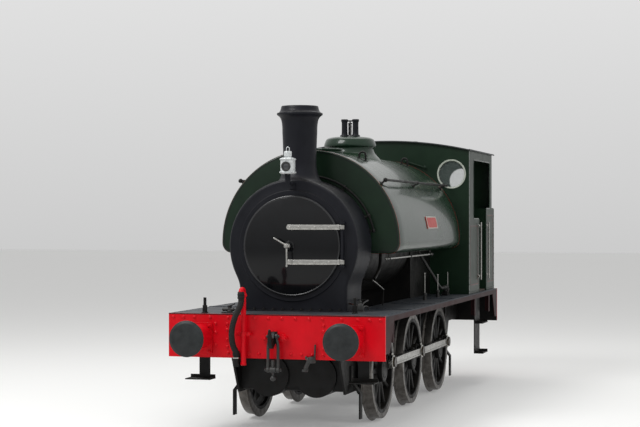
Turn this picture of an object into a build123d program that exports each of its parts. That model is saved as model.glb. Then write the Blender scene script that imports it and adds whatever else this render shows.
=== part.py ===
from build123d import *
import os
from math import cos, radians, sin, sqrt, tan

# A standard gauge six-coupled saddle tank engine with inside cylinders.
# The front faces -Y, +X is the engine's left side, z = 0 is at the tips of the wheel flanges.
# All sizes are in millimetres.

os.makedirs("parts", exist_ok=True)

# Wheels and axles
flange_depth = 28
tread_radius = 571.5
back_to_back = 1360
tyre_width = 135
tyre_thickness = 65
rim_thickness = 42
flange_width = 32
tread_slope = 4
hub_radius = 140
hub_proud = 20
axle_radius = 85
spoke_count = 12
spoke_root = 74
spoke_tip = 44
spoke_thickness = 58
spoke_bury = 10
leading_axle_y = -1945
driving_axle_y = -345
trailing_axle_y = 1332
balance_chord = 325
balance_thickness = 70

# Cranks and coupling rods
coupling_throw = 229
left_pin_angle = 20
quarter = 90
pin_radius = 46
pin_boss_radius = 92
pin_collar_radius = 64
pin_collar_width = 18
rod_thickness = 56
rod_depth = 96
rod_eye_radius = 84
rod_flute_width = 48
rod_flute_depth = 8
rod_flute_end = 40
rod_side_gap = 6
rod_running_gap = 0.05
rod_open_gap = 1
inside_throw = 279
inside_crank_x = 280
inside_pin_radius = 85
inside_pin_width = 100
crank_web_width = 110
crank_web_depth = 270
crank_cut_clearance = 1

# Frames and axleboxes
frame_outer = 635
frame_thickness = 25
frame_drop = 190
frame_end_height = 850
frame_front_overhang = 610
frame_rear_overhang = 950
frame_rise = 260
horn_width = 250
axlebox_height = 300
axlebox_inner = 560
axlebox_outer = 665
horn_stay_thickness = 20
horn_stay_width = 340
axle_running_gap = 0.05
guard_inset = 230
guard_width = 90
guard_thickness = 20
guard_foot_x = 740
guard_foot_height = 90
guard_bend_high = 520
guard_bend_low = 380
guard_top_height = 690
stretcher_thickness = 20
front_stretcher_share = 0.446
motion_plate_y = -1150
motion_plate_clearance = 60
firebox_stretcher_gap = 490
rear_stretcher_set = 475

# Leaf springs
spring_width = 84
spring_half_length = 390
spring_depth = 118
spring_end_depth = 26
spring_camber = 34
spring_hanger = 34
spring_buckle = 84
leaf_count = 8
leaf_step = 38

# Running plate and beams
plate_height = 1304
plate_thickness = 10
plate_half_width = 1239
plate_inner = 605
beam_half_length = 3600
beam_thickness = 25
beam_depth = 483
valance_depth = 60
valance_thickness = 10
end_plate_depth = 400
end_plate_length = 380

# Buffers and draw gear
buffer_spacing = 1727
buffer_height = 1054
buffer_length = 470
buffer_plate_width = 284
buffer_plate_height = 355
buffer_plate_thickness = 20
buffer_plate_drop = 25
buffer_plate_corner = 20
housing_length = 262
housing_base_radius = 140
housing_end_radius = 112
housing_collar_radius = 120
housing_collar = 30
plunger_radius = 64
head_radius = 198
head_rim = 22
head_dome = 16
hook_plate_half = 150
hook_plate_low = 985
hook_plate_high = 1126
hook_plate_thickness = 16
hook_height = 1060
hook_thickness = 46
link_radius = 15
link_half = 62
coupling_reach = 118
bow_bend = 34
link_eye_radius = 29
link_eye_half = 18
pin_stub = 42
cross_pin_radius = 13
screw_radius = 24
screw_rise = 104
coupling_low = 707
ball_drop = 92
ball_radius = 31

# Boiler and smokebox
boiler_height = 2045
boiler_radius = 640
smokebox_radius = 760
smokebox_back = -2290
smokebox_front = -2938
smokebox_base_half = 615
smokebox_wall = 16
smokebox_roll = 0.9
smokebox_base_fill = 90
door_ring_radius = 630
door_ring_thickness = 12
door_opening_radius = 555
door_radius = 572
door_rim = 24
door_dish = 84
door_skin = 12
door_gap = 0.3
hinge_x = 592
hinge_forward = 34
hinge_pin_radius = 17
knuckle_radius = 30
strap_heights = (2257, 1864)
strap_depth = 58
strap_thickness = 14
strap_tip = -73
hinge_lug = 25
hinge_lug_gap = 5
dart_boss_radius = 44
dart_boss_length = 34
dart_radius = 18
dart_length = 150
handle_radius = 11
handle_hub = 1.6
# handles: distance along the dart, angle in the plane of the door, length
handles = ((110, -90, 205), (70, 140, 170))

# Chimney and lamp
chimney_set = 288
chimney_seat = 80
chimney_base_lift = 8
chimney_skirt_bend = 0.29
flue_radius = 160
chimney_base_radius = 272
chimney_neck_radius = 198
chimney_top_radius = 218
chimney_rim_radius = 275
chimney_lip_radius = 224
chimney_neck_height = 2930
chimney_shoulder_height = 3480
chimney_rim_height = 3545
chimney_rim_depth = 20
chimney_lip_height = 3646
lamp_reach = 182
lamp_low = 2870
lamp_high = 3040
lamp_width = 175
lamp_lens_radius = 54
lamp_arm_height = 2745
lamp_arm_width = 60
lamp_arm_thickness = 12

# Saddle tank, filler and dome
tank_front = -2250
tank_radius = 1084
tank_height = 2076
tank_bottom = 1948
tank_corner = 115
tank_seat_gap = 0.3
filler_y = -1528
filler_seat = 60
filler_lug_x = 90
filler_lug_width = 24
filler_lug_bury = 15
filler_lug_drop = 4
lid_knuckle_half = 60
lid_knuckle_radius = 20
lid_arm_bury = 20
filler_radius = 190
filler_bore = 165
filler_height = 3182
lid_radius = 205
lid_thickness = 22
lid_gap = 0.3
lid_hinge_back = 232
lid_hinge_rise = 16
lid_pin_radius = 9
lid_lug_half = 20
dome_y = -381
dome_radius = 335
dome_neck_radius = 300
dome_skirt_radius = 414
dome_top = 3402
dome_shoulder = 3320
dome_neck_height = 3250
dome_crown = 0.62
dome_cap_bend = 0.9
dome_cap_lift = 4
dome_skirt_bend = 24
dome_skirt_rise = 26
dome_skirt_edge = 3
dome_seat = 100
valve_x = 73
valve_radius = 38
valve_base_radius = 58
valve_top = 3630
valve_base_height = 24

# Firebox, ashpan and cylinders
firebox_front = 299
firebox_back = 1710
firebox_lower_half = 600
firebox_deep_back = 1180
firebox_bottom = 592
firebox_shelf = 872
firebox_back_low = 1072
ashpan_depth = 210
ashpan_half = 560
cylinder_front = -2930
cylinder_back = -2330
cylinder_low = 400
cylinder_high = 1060
cylinder_cover_radius = 238
cylinder_cover_proud = 28
cylinder_corner = 60

# Cab and bunker
cab_front = 1545
cab_ledge = 49
cab_sheet = 10
bunker_end_gap = 10
bunker_length = 662
cab_overlap = 190
bunker_height = 2500
eaves_height = 3304
roof_peak_height = 3440
roof_thickness = 12
roof_side_overhang = 22
roof_front_overhang = 45
roof_back_overhang = 110
side_opening_front = 1897
side_opening_set = 170
side_opening_drop = 126
side_sill = 2350
door_front = 2349
window_inset = 244
window_tank_gap = 11.6
rear_window_inset = 455
rear_window_rise = 18
window_radius = 180
window_rim_radius = 206
window_rim_depth = 9
glass_overlap = 12
shovel_hole_half = 230
shovel_hole_low = 60
shovel_hole_high = 420
coal_floor_front = 40
coal_floor_back = 300
glass_thickness = 6
fit_gap = 0.3

# Steps, rails and pipes
front_step_set = 300
front_step_inset = 379
front_step_width = 127
front_tread_inset = 150
front_tread_width = 295
front_tread_height = 570
tread_depth = 190
step_thickness = 12
cab_step_lead = 21
cab_step_width = 400
cab_tread_heights = (430, 860)
cab_tread_depth = 119
rail_radius = 16
tank_rail_x = 854
tank_rail_height = 2808
tank_rail_front = -1916
tank_rail_back = 1500
tank_rail_posts = (-1800, -200, 1400)
post_radius = 12
tank_pipe_x = 900
tank_pipe_height = 1885
tank_pipe_front = -2140
tank_pipe_back = 440
tank_pipe_posts = (-2000, -850, 300)
hoop_radius = 806
hoop_forward = 14
hoop_posts = (25, 57, 90, 123, 155)
hoop_end_angle = 12
post_root = 20
tank_post_length = 120
cab_rail_y = 1506
cab_rail_low = (568, 3065)
cab_rail_high = (303, 3150)
door_rail_low = 1480
door_post_inset = 50
door_rail_high = 2300
door_rail_gap = 34
door_rail_inset = 38

# Brake gear
block_gap = 6
block_depth = 62
block_width = 84
block_inset = 40
block_reach = 300
block_drop = 60
hanger_width = 40
hanger_thickness = 25
hanger_top = 1150
hanger_end = 40
hanger_pin_set = 6
beam_bar_radius = 22
beam_bar_height = 332
pull_rod_x = 540
brake_shaft_y = 2400
brake_shaft_radius = 38
pull_rod_thickness = 24
pull_rod_depth = 32
brake_bracket = 100

# Vacuum brake pipes
standpipe_x = -343
standpipe_radius = 29
standpipe_off = 62
standpipe_low = 774
clamp_height_over_rail = 1090
clamp_height = 46
clamp_side = 52
clamp_front = 8
hose_radius = 34
# hose route: offset from the standpipe in x, distance before the beam, height over the rail
hose_points = (
    (0, 147, 1536),
    (0, 147, 1435),
    (-62, 164, 1280),
    (-104, 158, 1110),
    (-100, 122, 970),
    (-76, 90, 880),
    (-76, 90, 768),
)
hose_fillet = 0.45
hose_plug_low = 734
plug_clip_width = 40
plug_clip_height = 30
plug_bracket_thickness = 14
plug_bracket_lap = 40

# Heights and places that follow from the sizes above
rail = flange_depth
axle_z = rail + tread_radius
flange_radius = tread_radius + flange_depth
wheel_inner = back_to_back / 2
wheel_outer = wheel_inner + tyre_width
hub_face = wheel_outer + hub_proud
rim_inner_radius = tread_radius - tyre_thickness - rim_thickness
rod_inner = hub_face + rod_side_gap
rod_outer = rod_inner + rod_thickness
pin_end = rod_outer + rod_side_gap + pin_collar_width
deck_top = rail + plate_height
deck_low = deck_top - plate_thickness
beam_inner = beam_half_length - beam_thickness
front_bay_length = beam_inner + cylinder_front - cylinder_cover_proud
beam_bottom = deck_top - beam_depth
frame_low_front = -beam_half_length + frame_front_overhang
frame_low_rear = beam_half_length - frame_rear_overhang
frame_inner = frame_outer - frame_thickness
frame_bottom = axle_z - frame_drop
frame_end_bottom = rail + frame_end_height
buffer_x = buffer_spacing / 2
buffer_z = rail + buffer_height
boiler_z = rail + boiler_height
smokebox_length = smokebox_back - smokebox_front
chimney_y = smokebox_front + chimney_set
lamp_y = smokebox_front - lamp_reach
cab_half_width = plate_half_width - cab_ledge
window_x = cab_half_width - window_inset
window_reach = tank_radius + window_rim_radius + window_tank_gap
window_height = tank_height + sqrt(window_reach**2 - window_x**2)
rear_window_x = cab_half_width - rear_window_inset
roof_half_width = cab_half_width + roof_side_overhang
bunker_back = beam_half_length - bunker_end_gap
bunker_front = bunker_back - bunker_length
cab_back = bunker_back - cab_overlap
roof_front = cab_front - roof_front_overhang
roof_back = cab_back + roof_back_overhang
side_opening_back = cab_back - side_opening_set
side_opening_top = eaves_height - side_opening_drop
rear_window_height = (bunker_height + eaves_height) / 2 + rear_window_rise
front_step_y = -beam_half_length + front_step_set
cab_step_x = plate_half_width - cab_tread_depth - step_thickness
cab_step_front = door_front + cab_step_lead
cab_step_back = cab_step_front + cab_step_width
front_step_inner = plate_half_width - front_step_inset
front_tread_outer = plate_half_width - front_tread_inset
front_tread_inner = front_tread_outer - front_tread_width
smokebox_top = boiler_z + smokebox_radius
tank_z = rail + tank_height
tank_low = rail + tank_bottom
tank_top = tank_z + tank_radius
door_back = smokebox_front - door_ring_thickness - door_gap
hinge_y = door_back - hinge_forward
dish_radius = (door_radius**2 + door_dish**2) / (2 * door_dish)
roof_radius = (roof_half_width**2 + (roof_peak_height - eaves_height)**2) / (
    2 * (roof_peak_height - eaves_height)
)
roof_under_radius = roof_radius - roof_thickness
roof_centre_z = rail + roof_peak_height - roof_radius
cab_inner = cab_half_width - cab_sheet
axles = (
    ("leading", leading_axle_y),
    ("driving", driving_axle_y),
    ("trailing", trailing_axle_y),
)
# side: sign of x, crank pin angle
sides = (
    ("left", 1, left_pin_angle),
    ("right", -1, left_pin_angle + quarter),
)


def across(y):
    """Upright plane across the engine at y, facing the front, with local x, y as X, Z."""
    return Plane.XZ.offset(-y)


def along(x):
    """Upright plane along the engine at x, facing +X, with local x, y as Y, Z."""
    return Plane.YZ.offset(x)


def level(z):
    """Flat plane at height z."""
    return Plane.XY.offset(z)


def block(x, y, z, mode=Mode.ADD):
    """Add a box that spans the (low, high) pairs x, y and z to the piece in hand."""
    centre = ((x[0] + x[1]) / 2, (y[0] + y[1]) / 2, (z[0] + z[1]) / 2)
    with Locations(centre):
        Box(x[1] - x[0], y[1] - y[0], z[1] - z[0], mode=mode)


def bar(start, end, radius, mode=Mode.ADD):
    """Add a round bar from start to end to the piece in hand."""
    path = Vector(*end) - Vector(*start)
    with Locations(Plane(origin=start, z_dir=path.normalized()).location):
        Cylinder(radius, path.length, align=(Align.CENTER, Align.CENTER, Align.MIN), mode=mode)


def roof_under(x):
    """Height of the roof's underside at x."""
    return roof_centre_z + sqrt(roof_under_radius**2 - x**2)


def sag(r, radius):
    """Depth of a ball of that radius below its crown, at radius r from the middle."""
    return radius - sqrt(radius**2 - r**2)


def dish_front(r):
    """Y of the smokebox door's dished face at radius r from its centre."""
    return door_back - door_rim - door_dish + sag(r, dish_radius)


def pin_place(axle_y, angle, throw):
    """Y and Z of a crank pin at an angle from +Y towards +Z."""
    return axle_y + throw * cos(radians(angle)), axle_z + throw * sin(radians(angle))


# Main frames, one plate a side with its horn stays
for side_name, side, pin_angle in sides:
    with BuildPart() as side_frame:
        with BuildSketch(along(side * (frame_inner + frame_outer) / 2)):
            with BuildLine():
                Polyline(
                    (-beam_inner, deck_low),
                    (-beam_inner, frame_end_bottom),
                    (frame_low_front - frame_rise, frame_end_bottom),
                    (frame_low_front, frame_bottom),
                    (frame_low_rear, frame_bottom),
                    (frame_low_rear + frame_rise, frame_end_bottom),
                    (beam_inner, frame_end_bottom),
                    (beam_inner, deck_low),
                    close=True,
                )
            make_face()
            for name, axle_y in axles:
                with Locations((axle_y, axle_z - axlebox_height / 2)):
                    Rectangle(horn_width, 2 * axlebox_height, mode=Mode.SUBTRACT)
        extrude(amount=frame_thickness / 2, both=True)
        for name, axle_y in axles:
            block(
                tuple(sorted((side * frame_inner, side * frame_outer))),
                (axle_y - horn_stay_width / 2, axle_y + horn_stay_width / 2),
                (frame_bottom - horn_stay_thickness, frame_bottom),
            )
        for guard_y in (frame_low_front + guard_inset, frame_low_rear - guard_inset):
            with BuildSketch(across(guard_y + guard_width / 2)):
                with BuildLine():
                    Polyline(
                        (side * frame_outer, rail + guard_top_height),
                        (side * (frame_outer + guard_thickness), rail + guard_top_height),
                        (side * (frame_outer + guard_thickness), rail + guard_bend_high),
                        (side * (guard_foot_x + guard_thickness), rail + guard_bend_low),
                        (side * (guard_foot_x + guard_thickness), rail + guard_foot_height),
                        (side * guard_foot_x, rail + guard_foot_height),
                        (side * guard_foot_x, rail + guard_bend_low - guard_thickness / 2),
                        (side * frame_outer, rail + guard_bend_high - guard_thickness / 2),
                        close=True,
                    )
                make_face()
            extrude(amount=guard_width)
    side_frame.part.label = f"{side_name}_frame"
    export_step(side_frame.part, f"parts/{side_name}_frame.step")

# Stretchers between the frames: y, bottom
stretchers = (
    (-beam_inner + front_stretcher_share * front_bay_length, frame_end_bottom),
    (motion_plate_y, axle_z + motion_plate_clearance),
    (firebox_back + firebox_stretcher_gap, frame_bottom),
    (beam_inner - rear_stretcher_set, frame_end_bottom),
)
with BuildPart() as frame_stretchers:
    for stretcher_y, stretcher_low in stretchers:
        block(
            (-frame_inner, frame_inner),
            (stretcher_y, stretcher_y + stretcher_thickness),
            (stretcher_low, deck_low),
        )
frame_stretchers.part.label = "frame_stretchers"
export_step(frame_stretchers.part, "parts/frame_stretchers.step")

# Buffer beams
with BuildPart() as buffer_beams:
    with BuildSketch(across(-(beam_half_length - beam_thickness / 2))):
        with Locations((0, deck_top - beam_depth / 2)):
            Rectangle(2 * plate_half_width, beam_depth)
    extrude(amount=beam_thickness / 2, both=True)
    mirror(about=Plane.XZ)
buffer_beams.part.label = "buffer_beams"
export_step(buffer_beams.part, "parts/buffer_beams.step")

with BuildPart() as buffer_housings:
    with BuildSketch(across(-beam_half_length)):
        with Locations((buffer_x, buffer_z - buffer_plate_drop)):
            RectangleRounded(buffer_plate_width, buffer_plate_height, buffer_plate_corner)
    extrude(amount=buffer_plate_thickness)
    with BuildSketch(along(buffer_x)):
        with BuildLine():
            Polyline(
                (-beam_half_length, buffer_z),
                (-beam_half_length, buffer_z + housing_base_radius),
                (-(beam_half_length + buffer_plate_thickness), buffer_z + housing_base_radius),
                (-(beam_half_length + housing_length - housing_collar), buffer_z + housing_end_radius),
                (-(beam_half_length + housing_length - housing_collar), buffer_z + housing_collar_radius),
                (-(beam_half_length + housing_length), buffer_z + housing_collar_radius),
                (-(beam_half_length + housing_length), buffer_z),
                close=True,
            )
        make_face()
    revolve(axis=Axis((buffer_x, 0, buffer_z), (0, 1, 0)))
    mirror(about=Plane.YZ)
    mirror(about=Plane.XZ)
buffer_housings.part.label = "buffer_housings"
export_step(buffer_housings.part, "parts/buffer_housings.step")

head_back = beam_half_length + buffer_length - head_rim - head_dome
head_face = beam_half_length + buffer_length
head_curve = (head_radius**2 + head_dome**2) / (2 * head_dome)
with BuildPart() as buffer_heads:
    with BuildSketch(along(buffer_x)):
        with BuildLine():
            Polyline(
                (-head_face, buffer_z),
                (-(beam_half_length + housing_length), buffer_z),
                (-(beam_half_length + housing_length), buffer_z + plunger_radius),
                (-head_back, buffer_z + plunger_radius),
                (-head_back, buffer_z + head_radius),
                (-(head_back + head_rim), buffer_z + head_radius),
            )
            ThreePointArc(
                (-(head_back + head_rim), buffer_z + head_radius),
                (-(head_face - sag(head_radius / 2, head_curve)), buffer_z + head_radius / 2),
                (-head_face, buffer_z),
            )
        make_face()
    revolve(axis=Axis((buffer_x, 0, buffer_z), (0, 1, 0)))
    mirror(about=Plane.YZ)
    mirror(about=Plane.XZ)
buffer_heads.part.label = "buffer_heads"
export_step(buffer_heads.part, "parts/buffer_heads.step")

# Drawhook on its diamond plate
hook_z = rail + hook_height
hook_root = beam_half_length + hook_plate_thickness
throat_y = hook_root + coupling_reach
with BuildPart() as drawhooks:
    with BuildSketch(across(-beam_half_length)):
        with BuildLine():
            Polyline(
                (-hook_plate_half, rail + (hook_plate_low + hook_plate_high) / 2),
                (0, rail + hook_plate_low),
                (hook_plate_half, rail + (hook_plate_low + hook_plate_high) / 2),
                (0, rail + hook_plate_high),
                close=True,
            )
        make_face()
    extrude(amount=hook_plate_thickness)
    with BuildSketch(along(-hook_thickness / 2)):
        with Locations((-(hook_root + coupling_reach / 2), hook_z - link_radius)):
            Rectangle(coupling_reach, 3 * link_radius)
        with Locations((-throat_y, hook_z)):
            Circle(4 * link_radius)
        with Locations((-(throat_y + 3 * link_radius), hook_z + 2 * link_radius)):
            Rectangle(2 * link_radius, 5 * link_radius)
        with Locations((-throat_y, hook_z + 4 * link_radius)):
            Rectangle(4 * link_radius, 8 * link_radius, mode=Mode.SUBTRACT)
        with Locations((-throat_y, hook_z)):
            Circle(2 * link_radius, mode=Mode.SUBTRACT)
    extrude(amount=hook_thickness)
    mirror(about=Plane.XZ)
drawhooks.part.label = "drawhooks"
export_step(drawhooks.part, "parts/drawhooks.step")

# Screw coupling hanging in the hook's throat
bow_z = hook_z - link_radius
low_z = rail + coupling_low
ball_z = low_z - ball_drop
with BuildPart() as screw_couplings:
    with BuildLine():
        bow = FilletPolyline(
            (-link_half, -throat_y, low_z),
            (-link_half, -throat_y, bow_z),
            (link_half, -throat_y, bow_z),
            (link_half, -throat_y, low_z),
            radius=bow_bend,
        )
    with BuildSketch(Plane(origin=bow @ 0, z_dir=bow % 0)):
        Circle(link_radius)
    sweep(path=bow)
    for x in (-link_half, link_half):
        bar((x - link_eye_half, -throat_y, low_z), (x + link_eye_half, -throat_y, low_z), link_eye_radius)
    bar(
        (-link_half - pin_stub, -throat_y, low_z),
        (link_half + pin_stub, -throat_y, low_z),
        cross_pin_radius,
    )
    bar(
        (-screw_radius - link_eye_half / 2, -throat_y, low_z),
        (screw_radius + link_eye_half / 2, -throat_y, low_z),
        link_eye_radius + cross_pin_radius / 4,
    )
    bar((0, -throat_y, low_z), (0, -throat_y, low_z + screw_rise), screw_radius)
    bar((0, -throat_y, low_z), (0, -throat_y, ball_z), link_radius)
    with Locations((0, -throat_y, ball_z)):
        Sphere(ball_radius)
    mirror(about=Plane.XZ)
screw_couplings.part.label = "screw_couplings"
export_step(screw_couplings.part, "parts/screw_couplings.step")

# Front deck, running plates and cab floor
with BuildPart() as front_deck:
    block(
        (-plate_half_width, plate_half_width),
        (-beam_inner, smokebox_back),
        (deck_low, deck_top),
    )
front_deck.part.label = "front_deck"
export_step(front_deck.part, "parts/front_deck.step")

with BuildPart() as running_plates:
    block(
        (plate_inner, plate_half_width),
        (smokebox_back, cab_front),
        (deck_low, deck_top),
    )
    mirror(about=Plane.YZ)
running_plates.part.label = "running_plates"
export_step(running_plates.part, "parts/running_plates.step")

with BuildPart() as valances:
    with BuildSketch(along(plate_half_width - valance_thickness)):
        with BuildLine():
            Polyline(
                (-beam_inner, deck_low),
                (-beam_inner, deck_low - end_plate_depth),
                (-beam_inner + end_plate_length / 2, deck_low - end_plate_depth),
                (-beam_inner + end_plate_length, deck_low - valance_depth),
                (beam_inner - end_plate_length, deck_low - valance_depth),
                (beam_inner - end_plate_length / 2, deck_low - end_plate_depth),
                (beam_inner, deck_low - end_plate_depth),
                (beam_inner, deck_low),
                close=True,
            )
        make_face()
    extrude(amount=valance_thickness)
    mirror(about=Plane.YZ)
valances.part.label = "valances"
export_step(valances.part, "parts/valances.step")

with BuildPart() as cab_floor:
    with BuildSketch(level(deck_low)):
        with Locations((0, (cab_front + beam_inner) / 2)):
            Rectangle(2 * plate_half_width, beam_inner - cab_front)
        with Locations((0, cab_front)):
            Rectangle(
                2 * plate_inner,
                2 * (firebox_back - cab_front + fit_gap),
                mode=Mode.SUBTRACT,
            )
    extrude(amount=plate_thickness)
cab_floor.part.label = "cab_floor"
export_step(cab_floor.part, "parts/cab_floor.step")

# Smokebox: wrapper, front plate with its ring and hinge post, base with the rear plate and blast pipe
with BuildPart() as smokebox_wrapper:
    with BuildSketch(across(smokebox_back)):
        with Locations((0, boiler_z)):
            Circle(smokebox_radius)
        with Locations((0, (deck_top + boiler_z) / 2)):
            Rectangle(2 * smokebox_base_half, boiler_z - deck_top)
        with Locations((0, boiler_z)):
            Circle(smokebox_radius - smokebox_wall, mode=Mode.SUBTRACT)
        with Locations((0, (deck_top + boiler_z) / 2)):
            Rectangle(2 * (smokebox_base_half - smokebox_wall), boiler_z - deck_top, mode=Mode.SUBTRACT)
        with Locations((0, deck_top - smokebox_radius / 2)):
            Rectangle(2 * smokebox_radius, smokebox_radius, mode=Mode.SUBTRACT)
    extrude(amount=smokebox_length - smokebox_wall)
    with BuildSketch(level(boiler_z + smokebox_radius / 2)):
        with Locations((0, chimney_y)):
            Circle(flue_radius)
    extrude(amount=smokebox_radius, mode=Mode.SUBTRACT)
smokebox_wrapper.part.label = "smokebox_wrapper"
export_step(smokebox_wrapper.part, "parts/smokebox_wrapper.step")

with BuildPart() as smokebox_front_plate:
    with BuildSketch(across(smokebox_front + smokebox_wall)):
        with Locations((0, boiler_z)):
            Circle(smokebox_radius)
        with Locations((0, (deck_top + boiler_z) / 2)):
            Rectangle(2 * smokebox_base_half, boiler_z - deck_top)
        with Locations((0, deck_top - smokebox_radius / 2)):
            Rectangle(2 * smokebox_radius, smokebox_radius, mode=Mode.SUBTRACT)
    extrude(amount=smokebox_wall)
    rolled_edge = (
        smokebox_front_plate.edges()
        .filter_by(lambda edge: edge.center().Y < smokebox_front + smokebox_wall / 10)
        .filter_by(lambda edge: edge.center().Z > deck_top + smokebox_wall)
    )
    fillet(rolled_edge, smokebox_wall * smokebox_roll)
    with BuildSketch(across(smokebox_front)):
        with Locations((0, boiler_z)):
            Circle(door_ring_radius)
    extrude(amount=door_ring_thickness)
    with BuildSketch(across(smokebox_front + smokebox_wall)):
        with Locations((0, boiler_z)):
            Circle(door_opening_radius)
    extrude(amount=smokebox_wall + door_ring_thickness, mode=Mode.SUBTRACT)
    knuckle_low = rail + strap_heights[1] - strap_depth / 2
    knuckle_high = rail + strap_heights[0] + strap_depth / 2
    for lug_z in (knuckle_low - hinge_lug_gap - hinge_lug, knuckle_high + hinge_lug_gap):
        block(
            (hinge_x - knuckle_radius, hinge_x + knuckle_radius),
            (hinge_y - knuckle_radius, smokebox_front),
            (lug_z, lug_z + hinge_lug),
        )
    bar(
        (hinge_x, hinge_y, knuckle_low - hinge_lug_gap - hinge_lug / 2),
        (hinge_x, hinge_y, knuckle_high + hinge_lug_gap + hinge_lug / 2),
        hinge_pin_radius,
    )
smokebox_front_plate.part.label = "smokebox_front_plate"
export_step(smokebox_front_plate.part, "parts/smokebox_front_plate.step")

with BuildPart() as smokebox_base:
    block(
        (-smokebox_base_half + smokebox_wall, smokebox_base_half - smokebox_wall),
        (smokebox_front + smokebox_wall, smokebox_back),
        (deck_top, deck_top + smokebox_base_fill),
    )
    with BuildSketch(across(smokebox_back)):
        with Locations((0, boiler_z)):
            Circle(smokebox_radius - smokebox_wall)
        with Locations((0, (deck_top + boiler_z) / 2)):
            Rectangle(2 * (smokebox_base_half - smokebox_wall), boiler_z - deck_top)
        with Locations((0, deck_top - smokebox_radius / 2)):
            Rectangle(2 * smokebox_radius, smokebox_radius, mode=Mode.SUBTRACT)
    extrude(amount=smokebox_wall)
    bar(
        (0, chimney_y, deck_top + smokebox_base_fill / 2),
        (0, chimney_y, boiler_z),
        flue_radius / 2,
    )
smokebox_base.part.label = "smokebox_base"
export_step(smokebox_base.part, "parts/smokebox_base.step")

# Smokebox door, straps and dart handles
with BuildPart() as smokebox_door:
    with BuildSketch(along(0)):
        with BuildLine():
            Polyline(
                (dish_front(0) + door_skin, boiler_z),
                (dish_front(0), boiler_z),
            )
            ThreePointArc(
                (dish_front(0), boiler_z),
                (dish_front(door_radius / 2), boiler_z + door_radius / 2),
                (dish_front(door_radius), boiler_z + door_radius),
            )
            Polyline(
                (dish_front(door_radius), boiler_z + door_radius),
                (door_back, boiler_z + door_radius),
                (door_back, boiler_z + door_radius - door_rim),
                (dish_front(door_radius - door_rim) + door_skin, boiler_z + door_radius - door_rim),
            )
            ThreePointArc(
                (dish_front(door_radius - door_rim) + door_skin, boiler_z + door_radius - door_rim),
                (dish_front(door_radius / 2) + door_skin, boiler_z + door_radius / 2),
                (dish_front(0) + door_skin, boiler_z),
            )
        make_face()
    revolve(axis=Axis((0, 0, boiler_z), (0, 1, 0)))
smokebox_door.part.label = "smokebox_door"
export_step(smokebox_door.part, "parts/smokebox_door.step")

with BuildPart() as door_straps:
    for strap_height in strap_heights:
        strap_z = rail + strap_height
        rise = strap_z - boiler_z
        edge_x = sqrt(door_radius**2 - rise**2)
        tip_y = dish_front(sqrt(strap_tip**2 + rise**2))
        mid_x = (strap_tip + edge_x) / 2
        mid_y = dish_front(sqrt(mid_x**2 + rise**2))
        edge_y = dish_front(door_radius)
        with BuildSketch(level(strap_z - strap_depth / 2)):
            with BuildLine():
                ThreePointArc(
                    (strap_tip, tip_y - strap_thickness),
                    (mid_x, mid_y - strap_thickness),
                    (edge_x, edge_y - strap_thickness),
                )
                Polyline(
                    (edge_x, edge_y - strap_thickness),
                    (hinge_x, edge_y - strap_thickness),
                    (hinge_x, edge_y + door_skin / 2),
                    (edge_x, edge_y + door_skin / 2),
                )
                ThreePointArc(
                    (edge_x, edge_y + door_skin / 2),
                    (mid_x, mid_y + door_skin / 2),
                    (strap_tip, tip_y + door_skin / 2),
                )
                Line((strap_tip, tip_y + door_skin / 2), (strap_tip, tip_y - strap_thickness))
            make_face()
            with Locations((hinge_x, hinge_y)):
                Circle(knuckle_radius)
                Circle(hinge_pin_radius + rod_running_gap, mode=Mode.SUBTRACT)
        extrude(amount=strap_depth)
    add(smokebox_door.part, mode=Mode.SUBTRACT)
door_straps.part.label = "door_straps"
export_step(door_straps.part, "parts/door_straps.step")

with BuildPart() as door_handles:
    boss_y = dish_front(0)
    bar((0, boss_y + door_skin / 2, boiler_z), (0, boss_y - dart_boss_length, boiler_z), dart_boss_radius)
    bar((0, boss_y, boiler_z), (0, boss_y - dart_length, boiler_z), dart_radius)
    for reach, angle, length in handles:
        handle_y = boss_y - reach
        bar(
            (0, handle_y - dart_radius, boiler_z),
            (0, handle_y + dart_radius, boiler_z),
            handle_hub * dart_radius,
        )
        bar(
            (0, handle_y, boiler_z),
            (length * cos(radians(angle)), handle_y, boiler_z + length * sin(radians(angle))),
            handle_radius,
        )
    add(smokebox_door.part, mode=Mode.SUBTRACT)
door_handles.part.label = "door_handles"
export_step(door_handles.part, "parts/door_handles.step")

# Chimney
with BuildPart() as chimney:
    with BuildSketch(along(0)):
        base_z = smokebox_top + chimney_base_lift
        neck_z = rail + chimney_neck_height
        with BuildLine():
            Polyline(
                (chimney_y - flue_radius, smokebox_top - chimney_seat),
                (chimney_y - chimney_base_radius, smokebox_top - chimney_seat),
                (chimney_y - chimney_base_radius, base_z),
            )
            ThreePointArc(
                (chimney_y - chimney_base_radius, base_z),
                (
                    chimney_y
                    - chimney_neck_radius
                    - chimney_skirt_bend * (chimney_base_radius - chimney_neck_radius),
                    base_z + chimney_skirt_bend * (neck_z - base_z),
                ),
                (chimney_y - chimney_neck_radius, neck_z),
            )
            Polyline(
                (chimney_y - chimney_neck_radius, neck_z),
                (chimney_y - chimney_top_radius, rail + chimney_shoulder_height),
                (chimney_y - chimney_rim_radius, rail + chimney_rim_height),
                (chimney_y - chimney_rim_radius, rail + chimney_rim_height + chimney_rim_depth),
                (chimney_y - chimney_lip_radius, rail + chimney_lip_height),
                (chimney_y - flue_radius, rail + chimney_lip_height),
                (chimney_y - flue_radius, smokebox_top - chimney_seat),
            )
        make_face()
    revolve(axis=Axis((0, chimney_y, 0), (0, 0, 1)))
    with BuildSketch(across(smokebox_back)):
        with Locations((0, boiler_z)):
            Circle(smokebox_radius)
    extrude(amount=smokebox_length, mode=Mode.SUBTRACT)
chimney.part.label = "chimney"
export_step(chimney.part, "parts/chimney.step")

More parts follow.
